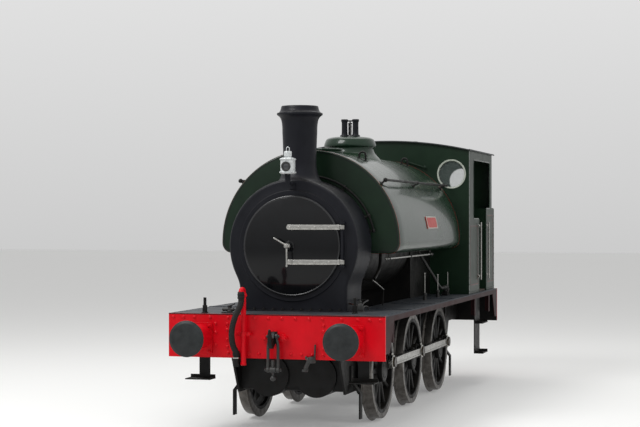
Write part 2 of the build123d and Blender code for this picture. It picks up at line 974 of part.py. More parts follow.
# Lamp on its bracket in front of the chimney
with BuildPart() as lamp_bracket:
    arm_z = rail + lamp_arm_height
    block(
        (-lamp_arm_width / 2, lamp_arm_width / 2),
        (smokebox_front - lamp_arm_thickness, smokebox_front),
        (arm_z - lamp_arm_width, arm_z + lamp_arm_thickness),
    )
    block(
        (-lamp_arm_width / 2, lamp_arm_width / 2),
        (lamp_y - lamp_arm_thickness, smokebox_front - lamp_arm_thickness),
        (arm_z, arm_z + lamp_arm_thickness),
    )
    block(
        (-lamp_arm_width / 2, lamp_arm_width / 2),
        (lamp_y - lamp_arm_thickness, lamp_y),
        (arm_z, rail + lamp_low),
    )
lamp_bracket.part.label = "lamp_bracket"
export_step(lamp_bracket.part, "parts/lamp_bracket.step")

with BuildPart() as head_lamp:
    lamp_half = lamp_width / 2
    block(
        (-lamp_half, lamp_half),
        (lamp_y - lamp_half, lamp_y + lamp_half),
        (rail + lamp_low, rail + lamp_high),
    )
    bar((0, lamp_y, rail + lamp_high), (0, lamp_y, rail + lamp_high + lamp_half), lamp_half / 2)
    bar(
        (0, lamp_y - lamp_half, rail + lamp_low + lamp_half),
        (0, lamp_y - lamp_half - lamp_arm_thickness, rail + lamp_low + lamp_half),
        lamp_lens_radius,
    )
head_lamp.part.label = "head_lamp"
export_step(head_lamp.part, "parts/head_lamp.step")

# Boiler barrel and firebox
with BuildPart() as boiler_barrel:
    with BuildSketch(across(firebox_front)):
        with Locations((0, boiler_z)):
            Circle(boiler_radius)
    extrude(amount=firebox_front - smokebox_back)
boiler_barrel.part.label = "boiler_barrel"
export_step(boiler_barrel.part, "parts/boiler_barrel.step")

with BuildPart() as firebox:
    with BuildSketch(across(firebox_back)):
        with Locations((0, boiler_z)):
            Circle(boiler_radius)
        with Locations((0, (deck_top + boiler_z) / 2)):
            Rectangle(2 * boiler_radius, boiler_z - deck_top)
    extrude(amount=firebox_back - firebox_front)
    with BuildSketch(along(-firebox_lower_half)):
        with BuildLine():
            Polyline(
                (firebox_front, rail + firebox_bottom),
                (firebox_deep_back, rail + firebox_bottom),
                (firebox_deep_back, rail + firebox_shelf),
                (firebox_back, rail + firebox_back_low),
                (firebox_back, deck_top),
                (firebox_front, deck_top),
                close=True,
            )
        make_face()
    extrude(amount=2 * firebox_lower_half)
firebox.part.label = "firebox"
export_step(firebox.part, "parts/firebox.step")

with BuildPart() as ashpan:
    with BuildSketch(along(-ashpan_half)):
        with BuildLine():
            Polyline(
                (firebox_front + ashpan_depth / 3, rail + firebox_bottom),
                (firebox_deep_back, rail + firebox_bottom),
                (firebox_deep_back - ashpan_depth / 3, rail + firebox_bottom - ashpan_depth),
                (firebox_front + ashpan_depth * 2 / 3, rail + firebox_bottom - ashpan_depth),
                close=True,
            )
        make_face()
    extrude(amount=2 * ashpan_half)
ashpan.part.label = "ashpan"
export_step(ashpan.part, "parts/ashpan.step")

# Inside cylinders cast in one block
with BuildPart() as cylinder_block:
    with BuildSketch(along(-frame_inner)):
        with Locations(((cylinder_front + cylinder_back) / 2, rail + (cylinder_low + cylinder_high) / 2)):
            RectangleRounded(cylinder_back - cylinder_front, cylinder_high - cylinder_low, cylinder_corner)
    extrude(amount=2 * frame_inner)
    for x in (-inside_crank_x, inside_crank_x):
        bar(
            (x, cylinder_front - cylinder_cover_proud, axle_z),
            (x, cylinder_back + cylinder_cover_proud, axle_z),
            cylinder_cover_radius,
        )
cylinder_block.part.label = "cylinder_block"
export_step(cylinder_block.part, "parts/cylinder_block.step")

# Saddle tank
with BuildPart() as saddle_tank:
    with BuildSketch(across(cab_front)):
        with BuildLine():
            ThreePointArc((tank_radius, tank_z), (0, tank_top), (-tank_radius, tank_z))
            Line((-tank_radius, tank_z), (-tank_radius, tank_low + tank_corner))
            ThreePointArc(
                (-tank_radius, tank_low + tank_corner),
                (
                    -tank_radius + tank_corner * (1 - sqrt(0.5)),
                    tank_low + tank_corner * (1 - sqrt(0.5)),
                ),
                (-tank_radius + tank_corner, tank_low),
            )
            Line((-tank_radius + tank_corner, tank_low), (tank_radius - tank_corner, tank_low))
            ThreePointArc(
                (tank_radius - tank_corner, tank_low),
                (
                    tank_radius - tank_corner * (1 - sqrt(0.5)),
                    tank_low + tank_corner * (1 - sqrt(0.5)),
                ),
                (tank_radius, tank_low + tank_corner),
            )
            Line((tank_radius, tank_low + tank_corner), (tank_radius, tank_z))
        make_face()
        with Locations((0, boiler_z)):
            Circle(boiler_radius + tank_seat_gap, mode=Mode.SUBTRACT)
        with Locations((0, tank_low)):
            Rectangle(
                2 * (boiler_radius + tank_seat_gap),
                2 * (boiler_z - tank_low),
                mode=Mode.SUBTRACT,
            )
    extrude(amount=cab_front - tank_front)
saddle_tank.part.label = "saddle_tank"
export_step(saddle_tank.part, "parts/saddle_tank.step")

# Filler collar with its hinged lid
filler_top = rail + filler_height
lid_hinge_y = filler_y + lid_hinge_back
lid_hinge_z = filler_top + lid_hinge_rise
with BuildPart() as filler_collar:
    bar((0, filler_y, tank_top - filler_seat), (0, filler_y, filler_top), filler_radius)
    bar((0, filler_y, tank_top - filler_seat), (0, filler_y, filler_top), filler_bore, mode=Mode.SUBTRACT)
    for x in (-filler_lug_x, filler_lug_x):
        lug_span = (x - filler_lug_width / 2, x + filler_lug_width / 2)
        block(
            lug_span,
            (filler_y + filler_radius - filler_lug_bury, lid_hinge_y + lid_lug_half),
            (tank_top - filler_seat, filler_top - filler_lug_drop),
        )
        block(
            lug_span,
            (lid_hinge_y - lid_lug_half, lid_hinge_y + lid_lug_half),
            (filler_top - filler_lug_drop, lid_hinge_z + lid_lug_half),
        )
    pin_half = filler_lug_x + filler_lug_width / 2
    bar((-pin_half, lid_hinge_y, lid_hinge_z), (pin_half, lid_hinge_y, lid_hinge_z), lid_pin_radius)
    add(saddle_tank.part, mode=Mode.SUBTRACT)
filler_collar.part.label = "filler_collar"
export_step(filler_collar.part, "parts/filler_collar.step")

with BuildPart() as filler_lid:
    bar((0, filler_y, filler_top + lid_gap), (0, filler_y, filler_top + lid_thickness), lid_radius)
    block(
        (-lid_knuckle_half, lid_knuckle_half),
        (filler_y + lid_radius - lid_arm_bury, lid_hinge_y),
        (filler_top + filler_lug_drop, filler_top + lid_thickness),
    )
    knuckle = (
        (-lid_knuckle_half, lid_hinge_y, lid_hinge_z),
        (lid_knuckle_half, lid_hinge_y, lid_hinge_z),
    )
    bar(*knuckle, lid_knuckle_radius)
    bar(*knuckle, lid_pin_radius + rod_running_gap, mode=Mode.SUBTRACT)
filler_lid.part.label = "filler_lid"
export_step(filler_lid.part, "parts/filler_lid.step")

# Dome and safety valves
with BuildPart() as dome:
    with BuildSketch(along(0)):
        top_z = rail + dome_top
        shoulder_z = rail + dome_shoulder
        neck_z = rail + dome_neck_height
        with BuildLine():
            Polyline(
                (dome_y, tank_top - dome_seat),
                (dome_y, top_z),
                (dome_y - dome_radius * dome_crown, top_z),
            )
            ThreePointArc(
                (dome_y - dome_radius * dome_crown, top_z),
                (dome_y - dome_radius * dome_cap_bend, (top_z * 2 + shoulder_z) / 3 + dome_cap_lift),
                (dome_y - dome_radius, shoulder_z),
            )
            Line((dome_y - dome_radius, shoulder_z), (dome_y - dome_neck_radius, neck_z))
            ThreePointArc(
                (dome_y - dome_neck_radius, neck_z),
                (dome_y - dome_neck_radius - dome_skirt_bend, tank_top + dome_skirt_rise),
                (dome_y - dome_skirt_radius, tank_top + dome_skirt_edge),
            )
            Polyline(
                (dome_y - dome_skirt_radius, tank_top + dome_skirt_edge),
                (dome_y - dome_skirt_radius, tank_top - dome_seat),
                (dome_y, tank_top - dome_seat),
            )
        make_face()
    revolve(axis=Axis((0, dome_y, 0), (0, 0, 1)))
    add(saddle_tank.part, mode=Mode.SUBTRACT)
dome.part.label = "dome"
export_step(dome.part, "parts/dome.step")

with BuildPart() as safety_valves:
    dome_z = rail + dome_top
    for x in (-valve_x, valve_x):
        bar((x, dome_y, dome_z), (x, dome_y, dome_z + valve_base_height), valve_base_radius)
        bar((x, dome_y, dome_z + valve_base_height), (x, dome_y, rail + valve_top), valve_radius)
safety_valves.part.label = "safety_valves"
export_step(safety_valves.part, "parts/safety_valves.step")

# Cab front sheet
with BuildPart() as cab_front_sheet:
    with BuildSketch(across(cab_front + cab_sheet)):
        with Locations((0, (deck_top + rail + roof_peak_height) / 2)):
            Rectangle(2 * cab_inner, rail + roof_peak_height - deck_top)
        with Locations((0, roof_centre_z)):
            Circle(roof_under_radius, mode=Mode.INTERSECT)
        with Locations((0, boiler_z)):
            Circle(boiler_radius + tank_seat_gap, mode=Mode.SUBTRACT)
        with Locations((0, (deck_top + boiler_z) / 2)):
            Rectangle(2 * (boiler_radius + tank_seat_gap), boiler_z - deck_top, mode=Mode.SUBTRACT)
        with Locations((-window_x, rail + window_height), (window_x, rail + window_height)):
            Circle(window_radius, mode=Mode.SUBTRACT)
    extrude(amount=cab_sheet)
cab_front_sheet.part.label = "cab_front_sheet"
export_step(cab_front_sheet.part, "parts/cab_front_sheet.step")

# Cab sides, each one sheet with the bunker's side
for side_name, side, pin_angle in sides:
    with BuildPart() as cab_side:
        side_top = roof_under(cab_half_width)
        with BuildSketch(along(side * (cab_half_width - cab_sheet / 2))):
            with BuildLine():
                Polyline(
                    (cab_front, deck_top),
                    (door_front, deck_top),
                    (door_front, rail + side_sill),
                    (side_opening_front, rail + side_sill),
                    (side_opening_front, rail + side_opening_top),
                    (side_opening_back, rail + side_opening_top),
                    (side_opening_back, rail + bunker_height),
                    (bunker_front, rail + bunker_height),
                    (bunker_front, deck_top),
                    (bunker_back, deck_top),
                    (bunker_back, rail + bunker_height),
                    (cab_back, rail + bunker_height),
                    (cab_back, side_top),
                    (cab_front, side_top),
                    close=True,
                )
            make_face()
        extrude(amount=cab_sheet / 2, both=True)
    cab_side.part.label = f"{side_name}_cab_side"
    export_step(cab_side.part, f"parts/{side_name}_cab_side.step")

# Cab rear sheet
with BuildPart() as cab_rear_sheet:
    with BuildSketch(across(cab_back)):
        with Locations((0, rail + (bunker_height + roof_peak_height) / 2)):
            Rectangle(2 * cab_inner, roof_peak_height - bunker_height)
        with Locations((0, roof_centre_z)):
            Circle(roof_under_radius, mode=Mode.INTERSECT)
        rear_window_z = rail + rear_window_height
        with Locations((-rear_window_x, rear_window_z), (rear_window_x, rear_window_z)):
            Circle(window_radius, mode=Mode.SUBTRACT)
    extrude(amount=cab_sheet)
cab_rear_sheet.part.label = "cab_rear_sheet"
export_step(cab_rear_sheet.part, "parts/cab_rear_sheet.step")

# Cab roof
with BuildPart() as cab_roof:
    with BuildSketch(across(roof_back)):
        with Locations((0, roof_centre_z)):
            Circle(roof_radius)
            Circle(roof_under_radius, mode=Mode.SUBTRACT)
        with Locations((0, rail + roof_peak_height)):
            Rectangle(2 * roof_half_width, roof_half_width, mode=Mode.INTERSECT)
    extrude(amount=roof_back - roof_front)
cab_roof.part.label = "cab_roof"
export_step(cab_roof.part, "parts/cab_roof.step")

# Window rims and glass: x, height, y of the outer face, way out
windows = (
    (window_x, window_height, cab_front, -1),
    (-window_x, window_height, cab_front, -1),
    (rear_window_x, rear_window_height, cab_back, 1),
    (-rear_window_x, rear_window_height, cab_back, 1),
)
with BuildPart() as window_rims:
    for x, height, face_y, out in windows:
        outer = (x, face_y + out * window_rim_depth, rail + height)
        bar((x, face_y, rail + height), outer, window_rim_radius)
    for x, height, face_y, out in windows:
        outer = (x, face_y + out * window_rim_depth, rail + height)
        bar((x, face_y, rail + height), outer, window_radius, mode=Mode.SUBTRACT)
window_rims.part.label = "window_rims"
export_step(window_rims.part, "parts/window_rims.step")

with BuildPart() as window_glass:
    for x, height, face_y, out in windows:
        inner_y = face_y - out * cab_sheet
        bar(
            (x, inner_y, rail + height),
            (x, inner_y - out * glass_thickness, rail + height),
            window_radius + glass_overlap,
        )
window_glass.part.label = "window_glass"
export_step(window_glass.part, "parts/window_glass.step")

# Bunker: back plate, bulkhead with a shovel hole, and sloping floor
with BuildPart() as bunker:
    block(
        (-cab_inner, cab_inner),
        (bunker_back - cab_sheet, bunker_back),
        (deck_top, rail + bunker_height),
    )
    block(
        (-cab_inner, cab_inner),
        (bunker_front, bunker_front + cab_sheet),
        (deck_top, rail + bunker_height),
    )
    with BuildSketch(along(-cab_inner)):
        with BuildLine():
            Polyline(
                (bunker_front, deck_top),
                (bunker_front, deck_top + coal_floor_front),
                (bunker_back, deck_top + coal_floor_back),
                (bunker_back, deck_top),
                close=True,
            )
        make_face()
    extrude(amount=2 * cab_inner)
    block(
        (-shovel_hole_half, shovel_hole_half),
        (bunker_front, bunker_front + cab_sheet),
        (deck_top + shovel_hole_low, deck_top + shovel_hole_high),
        mode=Mode.SUBTRACT,
    )
bunker.part.label = "bunker"
export_step(bunker.part, "parts/bunker.step")

# Axleboxes in the horn gaps
with BuildPart() as axleboxes:
    for name, axle_y in axles:
        block(
            (axlebox_inner, axlebox_outer),
            (axle_y - horn_width / 2, axle_y + horn_width / 2),
            (axle_z - axlebox_height / 2, axle_z + axlebox_height / 2),
        )
    for name, axle_y in axles:
        bar(
            (axlebox_inner, axle_y, axle_z),
            (axlebox_outer, axle_y, axle_z),
            axle_radius + axle_running_gap,
            mode=Mode.SUBTRACT,
        )
    mirror(about=Plane.YZ)
axleboxes.part.label = "axleboxes"
export_step(axleboxes.part, "parts/axleboxes.step")

# Leaf springs hung under the frames: leaves nested on arcs, each shorter than the one over it
spring_top = frame_bottom - horn_stay_thickness
spring_curve = (spring_half_length**2 + spring_camber**2) / (2 * spring_camber)
leaf_thickness = (spring_depth - spring_camber) / leaf_count
spring_mid = frame_outer - frame_thickness / 2


def leaf_z(reach, leaf):
    """Height of the arc over a leaf at a distance from the axle."""
    leaf_curve = spring_curve + leaf * leaf_thickness
    return spring_top - spring_camber + spring_curve - sqrt(leaf_curve**2 - reach**2)


with BuildPart() as leaf_springs:
    for name, axle_y in axles:
        with BuildSketch(along(spring_mid - spring_width / 2)):
            for leaf in range(leaf_count):
                reach = spring_half_length - leaf * leaf_step
                with BuildLine():
                    over = ThreePointArc(
                        (axle_y - reach, leaf_z(reach, leaf)),
                        (axle_y, leaf_z(0, leaf)),
                        (axle_y + reach, leaf_z(reach, leaf)),
                    )
                    under = ThreePointArc(
                        (axle_y - reach, leaf_z(reach, leaf + 1)),
                        (axle_y, leaf_z(0, leaf + 1)),
                        (axle_y + reach, leaf_z(reach, leaf + 1)),
                    )
                    Line(over @ 0, under @ 0)
                    Line(over @ 1, under @ 1)
                make_face()
        extrude(amount=spring_width)
        block(
            (spring_mid - spring_width / 2 - leaf_thickness, spring_mid + spring_width / 2 + leaf_thickness),
            (axle_y - spring_buckle / 2, axle_y + spring_buckle / 2),
            (spring_top - spring_depth - leaf_thickness, spring_top),
        )
        for end in (-1, 1):
            block(
                (frame_inner, frame_outer),
                (
                    axle_y + end * (spring_half_length - spring_hanger / 2) - spring_hanger / 2,
                    axle_y + end * (spring_half_length - spring_hanger / 2) + spring_hanger / 2,
                ),
                (spring_top - spring_end_depth, frame_bottom),
            )
    mirror(about=Plane.YZ)
leaf_springs.part.label = "leaf_springs"
export_step(leaf_springs.part, "parts/leaf_springs.step")

# Brake blocks, hangers, beams and pull rods
with BuildPart() as brake_gear:
    block_radius = tread_radius + block_gap
    hanger_y = block_radius + block_depth
    for name, axle_y in axles:
        with BuildSketch(along(wheel_inner + block_inset)):
            with Locations((axle_y, axle_z)):
                Circle(block_radius + block_depth)
                Circle(block_radius, mode=Mode.SUBTRACT)
            with Locations((axle_y + block_radius, axle_z - block_drop)):
                Rectangle(block_reach, block_reach, mode=Mode.INTERSECT)
        extrude(amount=block_width)
        hanger_x = wheel_inner + block_inset + block_width / 2 - hanger_thickness / 2
        pin_y = axle_y + hanger_y + hanger_pin_set
        block(
            (hanger_x, hanger_x + hanger_thickness),
            (pin_y - hanger_width / 2, pin_y + hanger_width / 2),
            (rail + beam_bar_height - hanger_end, rail + hanger_top + hanger_end),
        )
        bar(
            (frame_outer, pin_y, rail + hanger_top),
            (hanger_x + hanger_thickness, pin_y, rail + hanger_top),
            beam_bar_radius,
        )
        bar(
            (0, pin_y, rail + beam_bar_height),
            (hanger_x + hanger_thickness, pin_y, rail + beam_bar_height),
            beam_bar_radius,
        )
    block(
        (pull_rod_x - pull_rod_thickness / 2, pull_rod_x + pull_rod_thickness / 2),
        (leading_axle_y + hanger_y + hanger_pin_set, brake_shaft_y),
        (rail + beam_bar_height - pull_rod_depth / 2, rail + beam_bar_height + pull_rod_depth / 2),
    )
    bar(
        (0, brake_shaft_y, rail + beam_bar_height),
        (frame_outer, brake_shaft_y, rail + beam_bar_height),
        brake_shaft_radius,
    )
    block(
        (frame_inner, frame_outer),
        (brake_shaft_y - brake_bracket / 2, brake_shaft_y + brake_bracket / 2),
        (rail + beam_bar_height, frame_bottom),
    )
    mirror(about=Plane.YZ)
brake_gear.part.label = "brake_gear"
export_step(brake_gear.part, "parts/brake_gear.step")

# Front shunter's steps and cab steps
with BuildPart() as front_steps:
    tread_z = rail + front_tread_height
    block(
        (front_step_inner, front_step_inner + front_step_width),
        (front_step_y, front_step_y + step_thickness),
        (tread_z - step_thickness, deck_low),
    )
    block(
        (front_tread_inner, front_tread_outer),
        (front_step_y - tread_depth, front_step_y),
        (tread_z - step_thickness, tread_z),
    )
    mirror(about=Plane.YZ)
front_steps.part.label = "front_steps"
export_step(front_steps.part, "parts/front_steps.step")

with BuildPart() as cab_steps:
    block(
        (cab_step_x, cab_step_x + step_thickness),
        (cab_step_front, cab_step_back),
        (rail + cab_tread_heights[0] - step_thickness, deck_low),
    )
    for tread_height in cab_tread_heights:
        block(
            (cab_step_x + step_thickness, cab_step_x + step_thickness + cab_tread_depth),
            (cab_step_front, cab_step_back),
            (rail + tread_height - step_thickness, rail + tread_height),
        )
    mirror(about=Plane.YZ)
cab_steps.part.label = "cab_steps"
export_step(cab_steps.part, "parts/cab_steps.step")

# Handrails
with BuildPart() as tank_handrails:
    rail_z = rail + tank_rail_height
    bar((tank_rail_x, tank_rail_front, rail_z), (tank_rail_x, tank_rail_back, rail_z), rail_radius)
    for post_y in tank_rail_posts:
        bar((tank_rail_x, post_y, rail_z), (tank_rail_x - tank_post_length, post_y, rail_z), post_radius)
    add(saddle_tank.part, mode=Mode.SUBTRACT)
    mirror(about=Plane.YZ)
tank_handrails.part.label = "tank_handrails"
export_step(tank_handrails.part, "parts/tank_handrails.step")

with BuildPart() as smokebox_handrail:
    hoop_y = smokebox_back - hoop_forward
    with BuildLine(across(hoop_y)):
        hoop_line = CenterArc((0, boiler_z), hoop_radius, hoop_end_angle, 180 - 2 * hoop_end_angle)
    with BuildSketch(Plane(origin=hoop_line @ 0, z_dir=hoop_line % 0)):
        Circle(rail_radius)
    sweep(path=hoop_line)
    for angle in hoop_posts:
        bar(
            (
                (smokebox_radius - post_root) * cos(radians(angle)),
                hoop_y,
                boiler_z + (smokebox_radius - post_root) * sin(radians(angle)),
            ),
            (hoop_radius * cos(radians(angle)), hoop_y, boiler_z + hoop_radius * sin(radians(angle))),
            post_radius,
        )
    with BuildSketch(across(smokebox_back)):
        with Locations((0, boiler_z)):
            Circle(smokebox_radius)
    extrude(amount=smokebox_length, mode=Mode.SUBTRACT)
smokebox_handrail.part.label = "smokebox_handrail"
export_step(smokebox_handrail.part, "parts/smokebox_handrail.step")

with BuildPart() as cab_handrails:
    low = (cab_rail_low[0], cab_rail_y, rail + cab_rail_low[1])
    high = (cab_rail_high[0], cab_rail_y, rail + cab_rail_high[1])
    bar(low, high, post_radius)
    for x, y, z in (low, high):
        bar((x, y, z), (x, cab_front, z), post_radius)
        with Locations((x, y, z)):
            Sphere(post_radius)
    rail_x = cab_half_width + door_rail_gap
    for rail_y in (door_front - door_rail_inset, bunker_front + door_rail_inset):
        bar((rail_x, rail_y, rail + door_rail_low), (rail_x, rail_y, rail + door_rail_high), post_radius)
        for post_z in (door_rail_low + door_post_inset, door_rail_high - door_post_inset):
            bar((cab_half_width, rail_y, rail + post_z), (rail_x, rail_y, rail + post_z), post_radius)
    mirror(about=Plane.YZ)
cab_handrails.part.label = "cab_handrails"
export_step(cab_handrails.part, "parts/cab_handrails.step")

# Pipes hung under the tank
with BuildPart() as tank_pipes:
    pipe_z = rail + tank_pipe_height
    bar((tank_pipe_x, tank_pipe_front, pipe_z), (tank_pipe_x, tank_pipe_back, pipe_z), rail_radius)
    for post_y in tank_pipe_posts:
        bar((tank_pipe_x, post_y, pipe_z), (tank_pipe_x, post_y, tank_low), post_radius)
    mirror(about=Plane.YZ)
tank_pipes.part.label = "tank_pipes"
export_step(tank_pipes.part, "parts/tank_pipes.step")

# Vacuum standpipe and hose at each end, the rear pair turned half round
pipe_y = -beam_half_length - standpipe_off
route = [Vector(standpipe_x + x, -beam_half_length - y, rail + z) for x, y, z in hose_points]
bend_reach = Vector(route[0].X - standpipe_x, route[0].Y - pipe_y, 0)
pipe_start = Vector(standpipe_x, pipe_y, rail + standpipe_low)
bend_start = Vector(standpipe_x, pipe_y, route[0].Z)
bend_crown = bend_start + bend_reach * 0.5 + Vector(0, 0, bend_reach.length / 2)
with BuildPart() as vacuum_pipes:
    with BuildLine():
        pipe_line = Line(pipe_start, bend_start)
        pipe_bend = ThreePointArc(bend_start, bend_crown, route[0])
    with BuildSketch(Plane(origin=pipe_start, z_dir=(0, 0, 1))):
        Circle(standpipe_radius)
    sweep(path=Wire([pipe_line, pipe_bend]))
    clamp_z = rail + clamp_height_over_rail
    block(
        (standpipe_x - standpipe_radius - clamp_side, standpipe_x + standpipe_radius + clamp_side),
        (pipe_y, -beam_half_length),
        (clamp_z - clamp_height / 2, clamp_z + clamp_height / 2),
    )
    bar(
        (standpipe_x, pipe_y, clamp_z - clamp_height / 2),
        (standpipe_x, pipe_y, clamp_z + clamp_height / 2),
        standpipe_radius + clamp_front,
    )
    plug = route[-1]
    plug_low = rail + hose_plug_low
    bar((plug.X, plug.Y, plug_low), (plug.X, plug.Y, plug.Z), hose_radius)
    clip_span = (plug.X - plug_clip_width / 2, plug.X + plug_clip_width / 2)
    block(clip_span, (plug.Y, -beam_half_length), (plug_low, plug_low + plug_clip_height))
    block(
        clip_span,
        (-beam_half_length - plug_bracket_thickness, -beam_half_length),
        (plug_low, beam_bottom + plug_bracket_lap),
    )
    add(vacuum_pipes.part.rotate(Axis.Z, 180))
vacuum_pipes.part.label = "vacuum_pipes"
export_step(vacuum_pipes.part, "parts/vacuum_pipes.step")

with BuildPart() as vacuum_hoses:
    runs = [(b - a).length for a, b in zip(route, route[1:])]
    turns = [(b - a).get_angle(c - b) for a, b, c in zip(route, route[1:], route[2:])]
    radii = [
        hose_fillet * min(one, two) / tan(radians(turned / 2))
        for one, two, turned in zip(runs, runs[1:], turns)
    ]
    with BuildLine():
        hose_line = FilletPolyline(*route, radius=radii)
    with BuildSketch(Plane(origin=route[0], z_dir=(route[1] - route[0]).normalized())):
        Circle(hose_radius)
    sweep(path=hose_line)
    add(vacuum_hoses.part.rotate(Axis.Z, 180))
vacuum_hoses.part.label = "vacuum_hoses"
export_step(vacuum_hoses.part, "parts/vacuum_hoses.step")

# Wheelsets: wheels, axle, balance weights and crank pins in one
for axle_name, axle_y in axles:
    axis = Axis((0, axle_y, axle_z), (1, 0, 0))
    cranked = axle_name == "driving"
    with BuildPart() as wheelset:
        with BuildSketch(across(axle_y)):
            with BuildLine():
                Polyline(
                    (wheel_inner, axle_z + rim_inner_radius),
                    (wheel_inner, axle_z + flange_radius - flange_depth / 2),
                    (wheel_inner + flange_width * 0.3, axle_z + flange_radius),
                    (wheel_inner + flange_width * 0.6, axle_z + flange_radius),
                    (wheel_inner + flange_width, axle_z + tread_radius),
                    (wheel_outer, axle_z + tread_radius - tread_slope),
                    (wheel_outer, axle_z + rim_inner_radius),
                    close=True,
                )
            make_face()
            with Locations(((wheel_inner + hub_face) / 2, axle_z + hub_radius / 2)):
                Rectangle(hub_face - wheel_inner, hub_radius)
        revolve(axis=axis)
        spoke_inner = (wheel_inner + wheel_outer - spoke_thickness) / 2
        spoke_half = (rim_inner_radius - hub_radius) / 2 + spoke_bury
        with BuildSketch(Plane(origin=(spoke_inner, axle_y, axle_z), x_dir=(0, 1, 0), z_dir=(1, 0, 0))):
            with PolarLocations((rim_inner_radius + hub_radius) / 2, spoke_count):
                Polygon(
                    (-spoke_half, -spoke_root / 2),
                    (spoke_half, -spoke_tip / 2),
                    (spoke_half, spoke_tip / 2),
                    (-spoke_half, spoke_root / 2),
                    align=None,
                )
        extrude(amount=spoke_thickness)
        mirror(about=Plane.YZ)
        for side_name, side, pin_angle in sides:
            facing = Plane(
                origin=(side * (wheel_inner + wheel_outer) / 2, axle_y, axle_z),
                x_dir=(0, cos(radians(pin_angle)), sin(radians(pin_angle))),
                z_dir=(1, 0, 0),
            )
            with BuildSketch(facing):
                Circle(rim_inner_radius + spoke_bury / 2)
                with Locations((-balance_chord - rim_inner_radius / 2, 0)):
                    Rectangle(rim_inner_radius, 2 * rim_inner_radius, mode=Mode.INTERSECT)
            extrude(amount=balance_thickness / 2, both=True)
            pin_y, pin_z = pin_place(axle_y, pin_angle, coupling_throw)
            bar((side * wheel_inner, pin_y, pin_z), (side * hub_face, pin_y, pin_z), pin_boss_radius)
            bar((side * hub_face, pin_y, pin_z), (side * pin_end, pin_y, pin_z), pin_radius)
            bar(
                (side * (rod_outer + rod_side_gap), pin_y, pin_z),
                (side * pin_end, pin_y, pin_z),
                pin_collar_radius,
            )
        bar((-hub_face, axle_y, axle_z), (hub_face, axle_y, axle_z), axle_radius)
        if cranked:
            for side_name, side, pin_angle in sides:
                throw_y, throw_z = pin_place(axle_y, pin_angle + 180, inside_throw)
                pin_near = inside_crank_x - inside_pin_width / 2
                pin_far = inside_crank_x + inside_pin_width / 2
                bar(
                    (side * pin_near, axle_y, axle_z),
                    (side * pin_far, axle_y, axle_z),
                    axle_radius + crank_cut_clearance,
                    mode=Mode.SUBTRACT,
                )
                for web_x in (pin_near - crank_web_width / 2, pin_far + crank_web_width / 2):
                    web_plane = Plane(
                        origin=(side * web_x, (axle_y + throw_y) / 2, (axle_z + throw_z) / 2),
                        x_dir=(0, cos(radians(pin_angle)), sin(radians(pin_angle))),
                        z_dir=(1, 0, 0),
                    )
                    with BuildSketch(web_plane):
                        SlotCenterToCenter(inside_throw, crank_web_depth)
                    extrude(amount=crank_web_width / 2, both=True)
                bar(
                    (side * (pin_near - crank_web_width / 2), throw_y, throw_z),
                    (side * (pin_far + crank_web_width / 2), throw_y, throw_z),
                    inside_pin_radius,
                )
    wheelset.part.label = f"{axle_name}_wheelset"
    export_step(wheelset.part, f"parts/{axle_name}_wheelset.step")

# Coupling rods
for side_name, side, pin_angle in sides:
    rod_pins = [pin_place(axle_y, pin_angle, coupling_throw) for name, axle_y in axles]
    rod_mid = side * (rod_inner + rod_outer) / 2
    with BuildPart() as coupling_rod:
        with BuildSketch(along(rod_mid)):
            with Locations(((rod_pins[0][0] + rod_pins[2][0]) / 2, rod_pins[0][1])):
                Rectangle(rod_pins[2][0] - rod_pins[0][0], rod_depth)
            with Locations(*rod_pins):
                Circle(rod_eye_radius)
            with Locations(rod_pins[1]):
                Circle(pin_radius + rod_running_gap, mode=Mode.SUBTRACT)
            with Locations(rod_pins[0], rod_pins[2]):
                Circle(pin_radius + rod_open_gap, mode=Mode.SUBTRACT)
        extrude(amount=rod_thickness / 2, both=True)
        for near, far in zip(rod_pins, rod_pins[1:]):
            flute_length = far[0] - near[0] - 2 * (rod_eye_radius + rod_flute_end)
            for flute_mid in (rod_outer - rod_flute_depth / 2, rod_inner + rod_flute_depth / 2):
                with BuildSketch(along(side * flute_mid)):
                    with Locations(((near[0] + far[0]) / 2, near[1])):
                        SlotOverall(flute_length, rod_flute_width)
                extrude(amount=rod_flute_depth / 2, both=True, mode=Mode.SUBTRACT)
    coupling_rod.part.label = f"{side_name}_coupling_rod"
    export_step(coupling_rod.part, f"parts/{side_name}_coupling_rod.step")
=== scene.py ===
"""Looks of a six-coupled saddle tank steam engine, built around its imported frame."""

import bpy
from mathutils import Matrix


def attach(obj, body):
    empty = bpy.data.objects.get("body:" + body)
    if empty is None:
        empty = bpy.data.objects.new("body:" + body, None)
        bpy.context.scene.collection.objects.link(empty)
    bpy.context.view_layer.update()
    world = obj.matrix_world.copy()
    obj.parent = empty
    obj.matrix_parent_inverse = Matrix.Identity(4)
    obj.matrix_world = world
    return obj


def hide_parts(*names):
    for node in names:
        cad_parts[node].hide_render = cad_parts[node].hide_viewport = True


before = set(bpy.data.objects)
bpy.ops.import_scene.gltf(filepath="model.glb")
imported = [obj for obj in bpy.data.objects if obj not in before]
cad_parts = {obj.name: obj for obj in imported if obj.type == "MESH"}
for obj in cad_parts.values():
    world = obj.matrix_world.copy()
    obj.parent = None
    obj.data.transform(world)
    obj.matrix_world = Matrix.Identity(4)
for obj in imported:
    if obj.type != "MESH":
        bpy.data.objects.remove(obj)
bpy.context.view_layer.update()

import logging
import math
from dataclasses import dataclass
from enum import Enum
from typing import ClassVar, Iterable, Sequence

import bmesh
import bpy
import numpy as np
from mathutils import Vector

logging.basicConfig(level=logging.INFO, format="%(message)s")
log = logging.getLogger("engine")

MM = 0.001
ENGINE = "engine"
TURN = 2 * math.pi
X, Y, Z = np.eye(3)
# Part of a noise's range that carries its contrast
NOISE_SPAN = {"From Min": 0.3, "From Max": 0.7}
